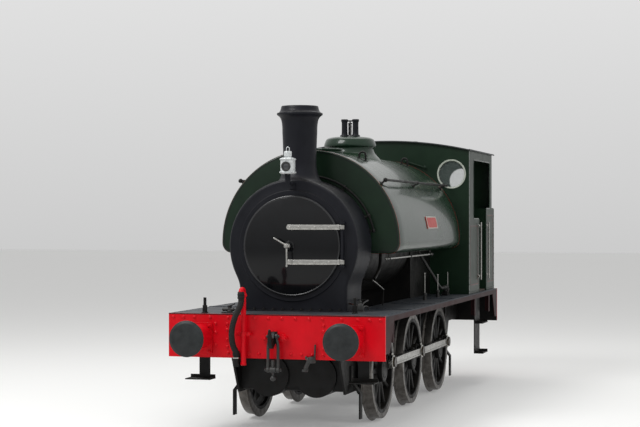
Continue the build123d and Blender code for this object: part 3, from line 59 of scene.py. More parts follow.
# How far a streaked finish is drawn out along Z, and the slope on which dust starts to lie
STREAK_PULL = 0.85
DUST_SLOPE = 0.35


class Side(Enum):
    """The engine's two sides, as the sign of X."""

    LEFT = 1
    RIGHT = -1


class End(Enum):
    """The engine's two ends, as the sign of Y."""

    FRONT = -1
    REAR = 1


def linear(hex_colour: str) -> tuple[float, float, float, float]:
    """Turn an sRGB hex colour into linear light.

    Args:
        hex_colour: Six hex digits after a hash sign.

    Returns:
        Red, green, blue and an alpha of 1.
    """
    srgb = np.array([int(hex_colour[i : i + 2], 16) / 255 for i in (1, 3, 5)])
    light = np.where(srgb <= 0.04045, srgb / 12.92, ((srgb + 0.055) / 1.055) ** 2.4)
    return (*light.tolist(), 1.0)


def add_node(
    tree: bpy.types.NodeTree, kind: str, settings: dict | None = None, links: dict | None = None
) -> bpy.types.Node:
    """Add one node to a material or world tree.

    Args:
        tree: The tree that gets the node.
        kind: Blender's name for the node type.
        settings: Attributes of the node, and socket values by socket name or number.
        links: For each input socket, a pair of the node and output that feed it.

    Returns:
        The new node.
    """
    made = tree.nodes.new(kind)
    for key, value in (settings or {}).items():
        if isinstance(key, str) and hasattr(made, key):
            setattr(made, key, value)
        else:
            made.inputs[key].default_value = value
    for key, (source, output) in (links or {}).items():
        tree.links.new(source.outputs[output], made.inputs[key])
    return made


@dataclass(frozen=True)
class Finish:
    """One real surface: its colours, gloss, mottling, grime and grain, with sizes in mm."""

    name: str
    colour: str
    second: str
    roughness: float
    metallic: float = 0.0
    coat: float = 0.0
    coat_roughness: float = 0.06
    specular: float = 0.5
    mottle_mm: float = 300.0
    grain_mm: float = 6.0
    grain_depth_mm: float = 0.05
    wave_mm: float = 0.0
    wave_depth_mm: float = 0.0
    roughness_spread: float = 0.12
    dust: str = "#6b675e"
    dust_amount: float = 0.0
    streak: float = 0.0
    alpha: float = 1.0
    transmission: float = 0.0

    def material(self) -> bpy.types.Material:
        """Build the procedural material, or hand back the one already built.

        Returns:
            The Blender material of this finish.
        """
        known = bpy.data.materials.get(self.name)
        if known:
            return known
        material = bpy.data.materials.new(self.name)
        material.use_nodes = True
        tree = material.node_tree
        tree.nodes.clear()
        place = {"Vector": (add_node(tree, "ShaderNodeTexCoord"), "Object")}
        pull = {"Scale": (1.0, 1.0, 1.0 - STREAK_PULL * self.streak)}
        stretch = add_node(tree, "ShaderNodeMapping", pull, place)
        size = {"Scale": 1 / (self.mottle_mm * MM), "Detail": 6.0, "Roughness": 0.62}
        mottle = add_node(tree, "ShaderNodeTexNoise", size, {"Vector": (stretch, 0)})
        spread = add_node(tree, "ShaderNodeMapRange", NOISE_SPAN, {"Value": (mottle, 0)})
        pair = {"data_type": "RGBA", 6: linear(self.colour), 7: linear(self.second)}
        shade = (add_node(tree, "ShaderNodeMix", pair, {0: (spread, 0)}), 2)
        if self.dust_amount > 0:
            facing = add_node(tree, "ShaderNodeNewGeometry")
            upright = add_node(tree, "ShaderNodeSeparateXYZ", links={0: (facing, "Normal")})
            slope = {"From Min": DUST_SLOPE, "From Max": 1.0, "To Max": self.dust_amount}
            lying = add_node(tree, "ShaderNodeMapRange", slope, {"Value": (upright, 2)})
            settled = add_node(tree, "ShaderNodeMath", {"operation": "MULTIPLY"}, {0: (lying, 0), 1: (spread, 0)})
            dust = {"data_type": "RGBA", 7: linear(self.dust)}
            shade = (add_node(tree, "ShaderNodeMix", dust, {0: (settled, 0), 6: shade}), 2)
        size = {"Scale": 1 / (self.grain_mm * MM), "Detail": 4.0}
        grain = add_node(tree, "ShaderNodeTexNoise", size, place)
        half = self.roughness_spread / 2
        gloss = {"To Min": max(0.02, self.roughness - half), "To Max": self.roughness + half}
        rough = add_node(tree, "ShaderNodeMapRange", NOISE_SPAN | gloss, {"Value": (mottle, 0)})
        depth = {"Strength": 1.0, "Distance": self.grain_depth_mm * MM}
        bump = add_node(tree, "ShaderNodeBump", depth, {"Height": (grain, 0)})
        if self.wave_mm:
            size = {"Scale": 1 / (self.wave_mm * MM), "Detail": 1.0}
            wave = add_node(tree, "ShaderNodeTexNoise", size, place)
            depth = {"Strength": 1.0, "Distance": self.wave_depth_mm * MM}
            bump = add_node(tree, "ShaderNodeBump", depth, {"Height": (wave, 0), "Normal": (bump, 0)})
        surface = {
            "Metallic": self.metallic, "Specular IOR Level": self.specular, "Coat Weight": self.coat,
            "Coat Roughness": self.coat_roughness, "Alpha": self.alpha, "Transmission Weight": self.transmission,
        }
        links = {"Base Color": shade, "Roughness": (rough, 0), "Normal": (bump, 0)}
        shader = add_node(tree, "ShaderNodeBsdfPrincipled", surface, links)
        add_node(tree, "ShaderNodeOutputMaterial", links={"Surface": (shader, 0)})
        material.diffuse_color = linear(self.colour)
        return material


# Coach enamel, brushed and varnished over smoothed plate: deep green with a clear gloss coat
GREEN = Finish(
    "brunswick_green_coach_enamel", "#15281c", "#1a3022", 0.26, coat=0.26, specular=0.16, mottle_mm=420,
    grain_mm=14, grain_depth_mm=0.03, wave_mm=520, wave_depth_mm=1.6, roughness_spread=0.06,
    dust_amount=0.12,
)
# The same enamel on a flat end plate, a little duller, its colour a shade darker than the tank's as painted shade
GREEN_FLAT = Finish(
    "brunswick_green_end_plate", "#102015", "#15281a", 0.4, coat=0.1, coat_roughness=0.2, specular=0.15,
    mottle_mm=380, grain_mm=12, grain_depth_mm=0.04, wave_mm=600, wave_depth_mm=0.8,
)
# Heat-proof graphite paint on the smokebox: blue-black, satin, chalky where it has been hot; part of the blue in its
# colour is a painted cool sky reflection
SMOKEBOX = Finish(
    "graphite_smokebox_paint", "#131419", "#1b1c21", 0.46, coat=0.04, coat_roughness=0.2, specular=0.12,
    mottle_mm=260, grain_mm=5, grain_depth_mm=0.12, wave_mm=450, wave_depth_mm=0.8, roughness_spread=0.14,
    dust_amount=0.16, streak=0.4,
)
# Black gloss enamel, hand rubbed: it mirrors what is in front of it
DOOR_BLACK = Finish(
    "black_gloss_enamel", "#07080a", "#0b0c0f", 0.2, coat=0.25, specular=0.12, mottle_mm=240, grain_mm=10,
    grain_depth_mm=0.02, wave_mm=380, wave_depth_mm=0.7,
)
# The same black gloss on the door's rolled bead, varnished bright, its colour a little lighter than the door's as a
# painted highlight
DOOR_BEAD = Finish(
    "black_gloss_bead", "#0c0d10", "#121317", 0.3, coat=0.15, coat_roughness=0.16, mottle_mm=200,
    grain_mm=10, grain_depth_mm=0.01,
)
# Signal red enamel on rolled plate: bright and fresh, thin runs and slight fading
RED = Finish(
    "signal_red_enamel", "#d5081b", "#c40817", 0.36, coat=0.06, coat_roughness=0.14, specular=0.14,
    mottle_mm=160, grain_mm=6, grain_depth_mm=0.08, wave_mm=260, wave_depth_mm=0.6, streak=0.5,
)
# Forged steel with old grease and brake dust: near black, blotched, dull sheen
GREASED = Finish(
    "greased_forged_steel", "#262728", "#3b3a38", 0.52, metallic=0.35, mottle_mm=60, grain_mm=3,
    grain_depth_mm=0.25, roughness_spread=0.3,
)
# Rolled floor plate in grey deck paint, walked on and dusty; its blue tint is a painted sky reflection
DECK = Finish(
    "grey_deck_paint_with_painted_sky_tint", "#20262e", "#2b3139", 0.55, specular=0.25, mottle_mm=180, grain_mm=4,
    grain_depth_mm=0.15, roughness_spread=0.25, dust_amount=0.2,
)
# Red oxide and brown edging on the footplate angle, satin
MAROON = Finish(
    "crimson_brown_edging", "#241013", "#2f1617", 0.5, specular=0.1, mottle_mm=220, grain_mm=5,
    grain_depth_mm=0.1, dust_amount=0.06,
)
# Black chassis paint under a film of oil and road dust, darker still as painted shade for the parts under the running
# plate
CHASSIS_BLACK_AND_SHADE = Finish(
    "oily_chassis_black_and_painted_shade", "#0a0a0b", "#12110f", 0.5, specular=0.2, mottle_mm=140, grain_mm=4,
    grain_depth_mm=0.2, roughness_spread=0.3, dust_amount=0.14,
)
# Burnished mild steel, emery polished along its length
STEEL = Finish(
    "burnished_mild_steel", "#b4b3af", "#8f8e8a", 0.3, metallic=1.0, mottle_mm=40, grain_mm=1.5,
    grain_depth_mm=0.03, roughness_spread=0.2,
)
# Tyre tread polished by the rail, with a dull flank
TYRE = Finish(
    "rolled_tyre_steel", "#6d6a66", "#4b4744", 0.38, metallic=0.85, mottle_mm=70, grain_mm=3,
    grain_depth_mm=0.08, roughness_spread=0.25,
)
# Silver-white enamel on the lamp's sheet, a little metallic
LAMP_WHITE = Finish(
    "silver_white_lamp_enamel", "#d9dcdc", "#b9bdbe", 0.34, metallic=0.15, coat=0.2, mottle_mm=45,
    grain_mm=3, grain_depth_mm=0.08, dust_amount=0.1,
)
# Slate-grey forged buffer steel: greased, scratched where it has met other buffers
BUFFER = Finish(
    "slate_buffer_steel", "#181b1c", "#2d3031", 0.46, metallic=0.15, specular=0.3, mottle_mm=110,
    grain_mm=3, grain_depth_mm=0.2, roughness_spread=0.25,
)
# Canvas-wrapped vulcanised rubber hose
RUBBER = Finish(
    "vulcanised_hose_rubber", "#121110", "#1c1a18", 0.6, specular=0.25, mottle_mm=50, grain_mm=2,
    grain_depth_mm=0.25, roughness_spread=0.2,
)
# Drawn copper pipe, browned by heat
COPPER = Finish(
    "drawn_copper_pipe", "#8a4c31", "#5d3626", 0.34, metallic=1.0, mottle_mm=60, grain_mm=3,
    grain_depth_mm=0.05,
)
# Cast brass, polished by hand and slightly tarnished
BRASS = Finish(
    "polished_cast_brass", "#c29a4c", "#9a7636", 0.28, metallic=1.0, mottle_mm=40, grain_mm=2,
    grain_depth_mm=0.05,
)
# Off-white enamel on the window rims
RIM_WHITE = Finish(
    "white_rim_enamel", "#b3b8ad", "#9fa59a", 0.34, coat=0.2, mottle_mm=60, grain_mm=3, grain_depth_mm=0.04,
)
# Toughened clear sheet glass with a trace of green
GLASS = Finish(
    "clear_sheet_glass", "#8d9a96", "#8d9a96", 0.03, mottle_mm=200, grain_mm=60, grain_depth_mm=0.02,
    roughness_spread=0.02, alpha=0.12,
)
# Deal planks of the footplate floor, dark with oil and coal dust
PLANK = Finish(
    "oiled_deal_planks", "#3b2c20", "#2a2018", 0.66, mottle_mm=90, grain_mm=5, grain_depth_mm=0.5,
    roughness_spread=0.2, dust_amount=0.2,
)
# Lens and lamp bulls-eye: dark tinted glass
LENS = Finish(
    "dark_bullseye_glass", "#15181c", "#1c2026", 0.08, coat=1.0, mottle_mm=30, grain_mm=20,
    grain_depth_mm=0.02,
)
# Black lining-out paint
LINING_BLACK = Finish(
    "black_lining_enamel", "#0b0c0d", "#121314", 0.35, coat=0.15, specular=0.2, mottle_mm=200, grain_mm=8,
    grain_depth_mm=0.03,
)
# Vermilion lining-out paint, for the thin line beside the black one
LINING_RED = Finish(
    "vermilion_lining_enamel", "#8d1b1a", "#7a1715", 0.4, coat=0.1, specular=0.2, mottle_mm=100, grain_mm=8,
    grain_depth_mm=0.03,
)
# Cast plate face, painted red, with a pale raised rim
PLATE_RED = Finish(
    "painted_cast_plate", "#b0302a", "#9c2a24", 0.42, coat=0.05, specular=0.25, mottle_mm=60, grain_mm=3,
    grain_depth_mm=0.2,
)
# Ingrained black grey of the cab roof, tarred canvas over plate
ROOF = Finish(
    "tarred_roof_canvas", "#26292a", "#333738", 0.6, mottle_mm=260, grain_mm=4, grain_depth_mm=0.2,
    dust_amount=0.3,
)
# Buff paint inside the cab, smoked and greasy
CAB_BUFF = Finish(
    "smoked_buff_paint", "#8f8263", "#776b50", 0.5, mottle_mm=240, grain_mm=6, grain_depth_mm=0.08,
    streak=0.5,
)


def unit(vectors: np.ndarray) -> np.ndarray:
    """Scale vectors to length one along the last axis."""
    return vectors / np.linalg.norm(vectors, axis=-1, keepdims=True)


def row(*axes: float | np.ndarray) -> np.ndarray:
    """Points from their X, Y and Z, each of them one number or a row of numbers."""
    return np.stack(np.broadcast_arrays(*axes), axis=-1).astype(float)


def ring_of(turns: int, u: np.ndarray, v: np.ndarray) -> np.ndarray:
    """Unit circles cos a * u + sin a * v, each of so many turns, for one pair of u and v or a row of them."""
    angles = np.linspace(0, TURN, turns, endpoint=False)[:, None]
    return np.cos(angles) * u[..., None, :] + np.sin(angles) * v[..., None, :]


def lengths(path: np.ndarray) -> np.ndarray:
    """Length along a path up to each of its points."""
    return np.concatenate([[0], np.cumsum(np.linalg.norm(np.diff(path, axis=0), axis=1))])


def arc(centre: Sequence[float], radius: float, start: float, stop: float, count: int = 9) -> np.ndarray:
    """Points of a flat arc: centre + radius * (cos a, sin a), for a from start to stop in degrees.

    Args:
        centre: The arc's middle in its own plane.
        radius: The arc's radius.
        start: First angle, in degrees.
        stop: Last angle, in degrees.
        count: How many points.

    Returns:
        An array of count rows and two columns.
    """
    angles = np.radians(np.linspace(start, stop, count))
    return np.array(centre) + radius * np.column_stack([np.cos(angles), np.sin(angles)])


def lathe(profile: Sequence, centre: Sequence[float], axis: np.ndarray, turns: int = 96) -> np.ndarray:
    """Surface of revolution: centre + h(t) * axis + r(t) * (cos a * u + sin a * v).

    Args:
        profile: Rows of radius r and height h along the axis.
        centre: A point on the axis where h is zero.
        axis: The axis as a unit vector.
        turns: How many steps round.

    Returns:
        A grid of points, one row per profile point, to be wrapped round.
    """
    u = unit(np.cross(axis, X if abs(axis[0]) < 0.9 else Y))
    profile = np.asarray(profile, float)
    around = ring_of(turns, u, np.cross(axis, u))
    return np.asarray(centre, float) + profile[:, 1, None, None] * axis + profile[:, 0, None, None] * around


def along_path(path: np.ndarray, radius: float | np.ndarray, up: np.ndarray, turns: int = 16) -> np.ndarray:
    """Round tube: path(t) + r(t) * (cos a * n(t) + sin a * b(t)), n and b square to the path.

    Args:
        path: The middle line's points.
        radius: One radius, or one for each point.
        up: A direction that the path never runs along.
        turns: How many steps round.

    Returns:
        A grid of points, one row per path point, to be wrapped round.
    """
    tangent = unit(np.gradient(path, axis=0))
    normal = unit(np.cross(tangent, up))
    size = np.broadcast_to(np.asarray(radius, float), (len(path),))[:, None, None]
    return path[:, None] + size * ring_of(turns, normal, np.cross(normal, tangent))


def curve_through(points: Sequence[Sequence[float]], count: int) -> np.ndarray:
    """Smooth line through points: cubic Hermite spans whose slopes join the neighbours.

    Args:
        points: The points to pass through.
        count: How many points to give back.

    Returns:
        An array of count points.
    """
    given = np.asarray(points, float)
    steps = lengths(given)
    slope = np.gradient(given, steps, axis=0)
    t = np.linspace(0, steps[-1], count)
    i = np.clip(np.searchsorted(steps, t, side="right") - 1, 0, len(given) - 2)
    width = (steps[i + 1] - steps[i])[:, None]
    s = (t[:, None] - steps[i][:, None]) / width
    return (
        (2 * s**3 - 3 * s**2 + 1) * given[i]
        + (s**3 - 2 * s**2 + s) * width * slope[i]
        + (-2 * s**3 + 3 * s**2) * given[i + 1]
        + (s**3 - s**2) * width * slope[i + 1]
    )


class Meshwork:
    """Collects surfaces, bars and rivets, all in mm, and makes them one named piece."""

    def __init__(self) -> None:
        """Start with no surface."""
        self.points: list[np.ndarray] = []
        self.faces: list[tuple[int, ...]] = []
        self.marks: list[int] = []
        self.total = 0

    def add(self, points: np.ndarray, faces: Iterable[Sequence[int]], mark: int = 0) -> None:
        """Add points and the faces between them, all with one material number.

        Args:
            points: Any array of X, Y, Z.
            faces: Corner numbers, counted within points.
            mark: Material number.
        """
        faces = [tuple(int(i) + self.total for i in face) for face in faces]
        self.points.append(np.asarray(points, float).reshape(-1, 3))
        self.faces.extend(faces)
        self.marks.extend([mark] * len(faces))
        self.total += len(self.points[-1])

    def grid(
        self, points: np.ndarray, wrap: bool = True, loop: bool = False, caps: bool = False, mark: int = 0
    ) -> None:
        """Add a grid of points as quads.

        Args:
            points: Rows by columns by three.
            wrap: Whether the last column joins the first.
            loop: Whether the last row joins the first.
            caps: Whether the first and last rows are closed by a flat face.
            mark: The material number of its faces.
        """
        rows, columns = points.shape[:2]
        i = np.arange(rows if loop else rows - 1)[:, None]
        j = np.arange(columns if wrap else columns - 1)[None]
        k, m = (i + 1) % rows, (j + 1) % columns
        quads = [i * columns + j, i * columns + m, k * columns + m, k * columns + j]
        faces = np.stack(quads, axis=-1).reshape(-1, 4).tolist()
        if caps:
            faces.append(list(range(columns))[::-1])
            faces.append(list(range((rows - 1) * columns, rows * columns)))
        self.add(points, faces, mark)

    def turned(
        self, profile: Sequence, centre: Sequence[float], axis: np.ndarray, turns: int = 64, mark: int = 0,
        loop: bool = False,
    ) -> None:
        """Add a turned shape from rows of radius and height; loop joins the last row to the first."""
        self.grid(lathe(profile, centre, axis, turns), loop=loop, mark=mark)

    def nut(
        self, place: Sequence[float], axis: np.ndarray, radius: float, height: float, turns: int = 6,
        mark: int = 0, low: float = 0.0,
    ) -> None:
        """Add a plain nut or disc that stands on place, or starts low mm from it."""
        self.turned([(0, low), (radius, low), (radius, height), (0, height)], place, axis, turns, mark)

    def rod(
        self, start: Sequence[float], stop: Sequence[float], radius: float, turns: int = 16, mark: int = 0
    ) -> None:
        """Add a round bar with slightly eased ends.

        Args:
            start: Middle of one end.
            stop: Middle of the other.
            radius: Of the bar.
            turns: Corners round it.
            mark: Material number.
        """
        start, stop = np.asarray(start, float), np.asarray(stop, float)
        length = float(np.linalg.norm(stop - start))
        ease = min(radius * 0.25, length * 0.2)
        profile = [
            (0, 0), (radius - ease, 0), (radius, ease), (radius, length - ease), (radius - ease, length), (0, length),
        ]
        self.turned(profile, start, unit(stop - start), turns, mark)

    def tube(
        self, path: np.ndarray, radius: float | np.ndarray, up: np.ndarray, turns: int = 16, mark: int = 0
    ) -> None:
        """Add a round bar along a path that never runs along up, closed at both ends."""
        self.grid(along_path(path, radius, up, turns), caps=True, mark=mark)

    def bent(
        self, points: Sequence, count: int, radius: float, up: np.ndarray, turns: int = 16, mark: int = 0
    ) -> None:
        """Add a round bar along the smooth line through some points, drawn with count points."""
        self.tube(curve_through(points, count), radius, up, turns, mark)

    def slab(self, low: Sequence[float], high: Sequence[float], mark: int = 0) -> None:
        """Add a box between two corners.

        Args:
            low: One corner.
            high: The opposite corner.
            mark: Material number.
        """
        low, high = np.minimum(low, high), np.maximum(low, high)
        pick = np.array([[i & 1, i >> 1 & 1, i >> 2 & 1] for i in range(8)])
        faces = [(0, 2, 3, 1), (4, 5, 7, 6), (0, 1, 5, 4), (2, 6, 7, 3), (0, 4, 6, 2), (1, 3, 7, 5)]
        self.add(np.where(pick == 1, high, low), faces, mark)

    def prism(
        self, outline: np.ndarray, origin: Sequence[float], u: np.ndarray, v: np.ndarray, depth: float, mark: int = 0
    ) -> None:
        """Add a flat outline carried along u cross v: origin + p * u + q * v + w * depth.

        Args:
            outline: Rows of p and q, in order round the edge.
            origin: Where p and q are zero.
            u: Direction of p.
            v: Direction of q.
            depth: How far it is carried.
            mark: The material number of its faces.
        """
        flat = np.asarray(origin, float) + outline[:, :1] * u + outline[:, 1:] * v
        self.grid(np.stack([flat, flat + np.cross(u, v) * depth]), caps=True, mark=mark)

    def rivets(
        self, places: np.ndarray, normals: np.ndarray, radius: float, height: float | None = None,
        turns: int = 10, mark: int = 0,
    ) -> None:
        """Add snap-head rivets: at each place a dome r = R cos b, h = H sin b on the surface.

        Args:
            places: One row per rivet.
            normals: One way out for all, or one each.
            radius: Head radius.
            height: Head height, or 0.6 of the radius.
            turns: Steps round each head.
            mark: The material number of its faces.
        """
        places = np.asarray(places, float).reshape(-1, 3)
        out = unit(np.broadcast_to(np.asarray(normals, float), places.shape))
        u = unit(np.cross(out, np.where(np.abs(out[:, :1]) < 0.9, X, Y)))
        height = 0.6 * radius if height is None else height
        rise = np.radians([-15.0, 20.0, 55.0])[None, :, None, None]
        around = ring_of(turns, u, np.cross(out, u))[:, None]
        domes = places[:, None, None] + radius * np.cos(rise) * around + height * np.sin(rise) * out[:, None, None]
        count, rows = domes.shape[:2]
        shell = np.concatenate([domes.reshape(count, -1, 3), (places + height * out)[:, None]], axis=1)
        i, j = np.arange(rows - 1)[:, None] * turns, np.arange(turns)[None]
        m = (j + 1) % turns
        quads = np.stack([i + j, i + m, i + turns + m, i + turns + j], axis=-1).reshape(-1, 4)
        last, stride = (rows - 1) * turns, rows * turns + 1
        tips = np.stack([last + j[0], last + m[0], np.full(turns, rows * turns)], axis=-1)
        shift = np.arange(count)[:, None, None] * stride
        faces = (quads + shift).reshape(-1, 4).tolist() + (tips + shift).reshape(-1, 3).tolist()
        faces += [list(range(k * stride, k * stride + turns))[::-1] for k in range(count)]
        self.add(shell, faces, mark)

    def piece(
        self, name: str, finishes: Finish | Sequence[Finish], slot: str, body: str = ENGINE,
        replaces: Sequence[str] = (), bevel: float = 0.0, sharp: float = 35.0,
    ) -> bpy.types.Object:
        """Make the collected surfaces one object that rides on a body.

        Args:
            name: The piece's plain name.
            finishes: One finish, or one for each material number.
            slot: The record's material slot; not used.
            body: The body it rides on.
            replaces: CAD nodes that it stands for.
            bevel: Width of the eased edges in mm, or none.
            sharp: Edges turning more than this many degrees stay sharp.

        Returns:
            The new object.
        """
        finishes = [finishes] if isinstance(finishes, Finish) else list(finishes)
        mesh = bpy.data.meshes.new(name)
        mesh.from_pydata((np.concatenate(self.points) * MM).tolist(), [], self.faces)
        mesh.polygons.foreach_set("material_index", self.marks)
        for finish in finishes:
            mesh.materials.append(finish.material())
        work = bmesh.new()
        work.from_mesh(mesh)
        bmesh.ops.remove_doubles(work, verts=work.verts, dist=1e-5)
        bmesh.ops.dissolve_degenerate(work, edges=work.edges, dist=1e-6)
        bmesh.ops.recalc_face_normals(work, faces=work.faces)
        work.to_mesh(mesh)
        work.free()
        mesh.shade_smooth()
        mesh.set_sharp_from_angle(angle=math.radians(sharp))
        thing = bpy.data.objects.new(name, mesh)
        bpy.context.scene.collection.objects.link(thing)
        if bevel:
            edge = thing.modifiers.new("eased_edges", "BEVEL")
            edge.width = bevel * MM
            edge.segments = 2
            edge.limit_method = "ANGLE"
            edge.angle_limit = math.radians(40)
        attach(thing, body)
        if replaces:
            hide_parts(*replaces)
        log.info("%s: %d faces", name, len(mesh.polygons))
        return thing


def dress(finish: Finish, *nodes: str) -> None:
    """Give CAD nodes that keep their own shape the material of a finish.

    Args:
        finish: The finish they get.
        nodes: The nodes' names.
    """
    for node in nodes:
        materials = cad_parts[node].data.materials
        materials.clear()
        materials.append(finish.material())


@dataclass(frozen=True)
class Layout:
    """Places that several sub-assemblies share, in mm; the rail's top is at 28."""

    deck: float = 1332.0
    under_deck: float = 1322.0
    boiler: float = 2073.0
    tank: float = 2104.0
    tank_radius: float = 1084.0
    axle: float = 599.5
    beam: float = 3600.0
    half_width: float = 1239.0
    smokebox_front: float = -2938.0
    smokebox_back: float = -2290.0
    smokebox_radius: float = 760.0
    cab_front: float = 1545.0
    cab_back: float = 3400.0
    frame_face: float = 635.0
    axles: tuple[float, float, float] = (-1945.0, -345.0, 1332.0)
    throw: float = 229.0
    pin_angles: ClassVar[dict[Side, float]] = {Side.LEFT: 20.0, Side.RIGHT: 110.0}
    chimney: float = -2650.0
    door_hinge: tuple[float, float] = (592.0, -2984.3)
    straps: tuple[float, float] = (2285.0, 1892.0)


PLAN = Layout()


def coil(foot: Sequence[float], radius: float, rise: float, steps: int, turns: int = 9) -> np.ndarray:
    """Points of a coil: foot + (R cos a, R sin a, rise * t), with a = t times all its turns.

    Args:
        foot: Where its middle line starts.
        radius: The coil's radius R.
        rise: How far it climbs.
        steps: Steps in each turn.
        turns: How many turns.

    Returns:
        One row per point.
    """
    t = np.linspace(0, 1, turns * steps)
    angles = turns * TURN * t
    return np.asarray(foot, float) + row(radius * np.cos(angles), radius * np.sin(angles), rise * t)


def resample(path: np.ndarray, count: int) -> np.ndarray:
    """Space points evenly by length along a path of straight runs.

    Args:
        path: The path's corners.
        count: How many points to give back.

    Returns:
        One row per point.
    """
    steps = lengths(path)
    t = np.linspace(0, steps[-1], count)
    return np.column_stack([np.interp(t, steps, path[:, k]) for k in range(path.shape[1])])


def at_y(outline: np.ndarray, y: float) -> np.ndarray:
    """Stand a flat X, Z outline upright at y."""
    return np.column_stack([outline[:, 0], np.full(len(outline), y), outline[:, 1]])


def on_drum(angle: float | np.ndarray, y: float | np.ndarray, radius: float, height: float) -> np.ndarray:
    """Points on a drum lying along Y: (radius * cos a, y, height + radius * sin a), a in degrees."""
    a, y = np.broadcast_arrays(np.radians(angle), np.asarray(y, float))
    return np.stack([radius * np.cos(a), y, height + radius * np.sin(a)], axis=-1)


def seated(
    grid: np.ndarray, centre_y: float, drum: float, height: float, inner: float, outer: float, power: float = 1.6
) -> np.ndarray:
    """Settle a turned skirt on a drum: z = (1 - w) * z + w * drum top, w = ((r - inner) / (outer - inner)) ^ power.

    Args:
        grid: Points of a shape turned about an upright axis.
        centre_y: Y of that axis.
        drum: The drum's radius.
        height: Height of the drum's centre.
        inner: Radius at which the skirt starts to settle.
        outer: Radius at which it lies on the drum.
        power: How late it settles.

    Returns:
        The settled points.
    """
    made = grid.copy()
    r = np.hypot(grid[..., 0], grid[..., 1] - centre_y)
    w = np.clip((r - inner) / (outer - inner), 0, 1) ** power
    top = height + np.sqrt(drum**2 - grid[..., 0] ** 2)
    made[..., 2] = (1 - w) * grid[..., 2] + w * top
    return made


def soft_corners(half_x: float, half_y: float, radius: float, steps: int = 5) -> np.ndarray:
    """Outline of a rectangle with rounded corners: four quarter circles joined by straight runs.

    Args:
        half_x: Half its width.
        half_y: Half its height.
        radius: Of its corners.
        steps: Points in each corner.

    Returns:
        One row per point.
    """
    x, y = half_x - radius, half_y - radius
    return np.concatenate([
        arc((x, -y), radius, -90, 0, steps), arc((x, y), radius, 0, 90, steps),
        arc((-x, y), radius, 90, 180, steps), arc((-x, -y), radius, 180, 270, steps),
    ])


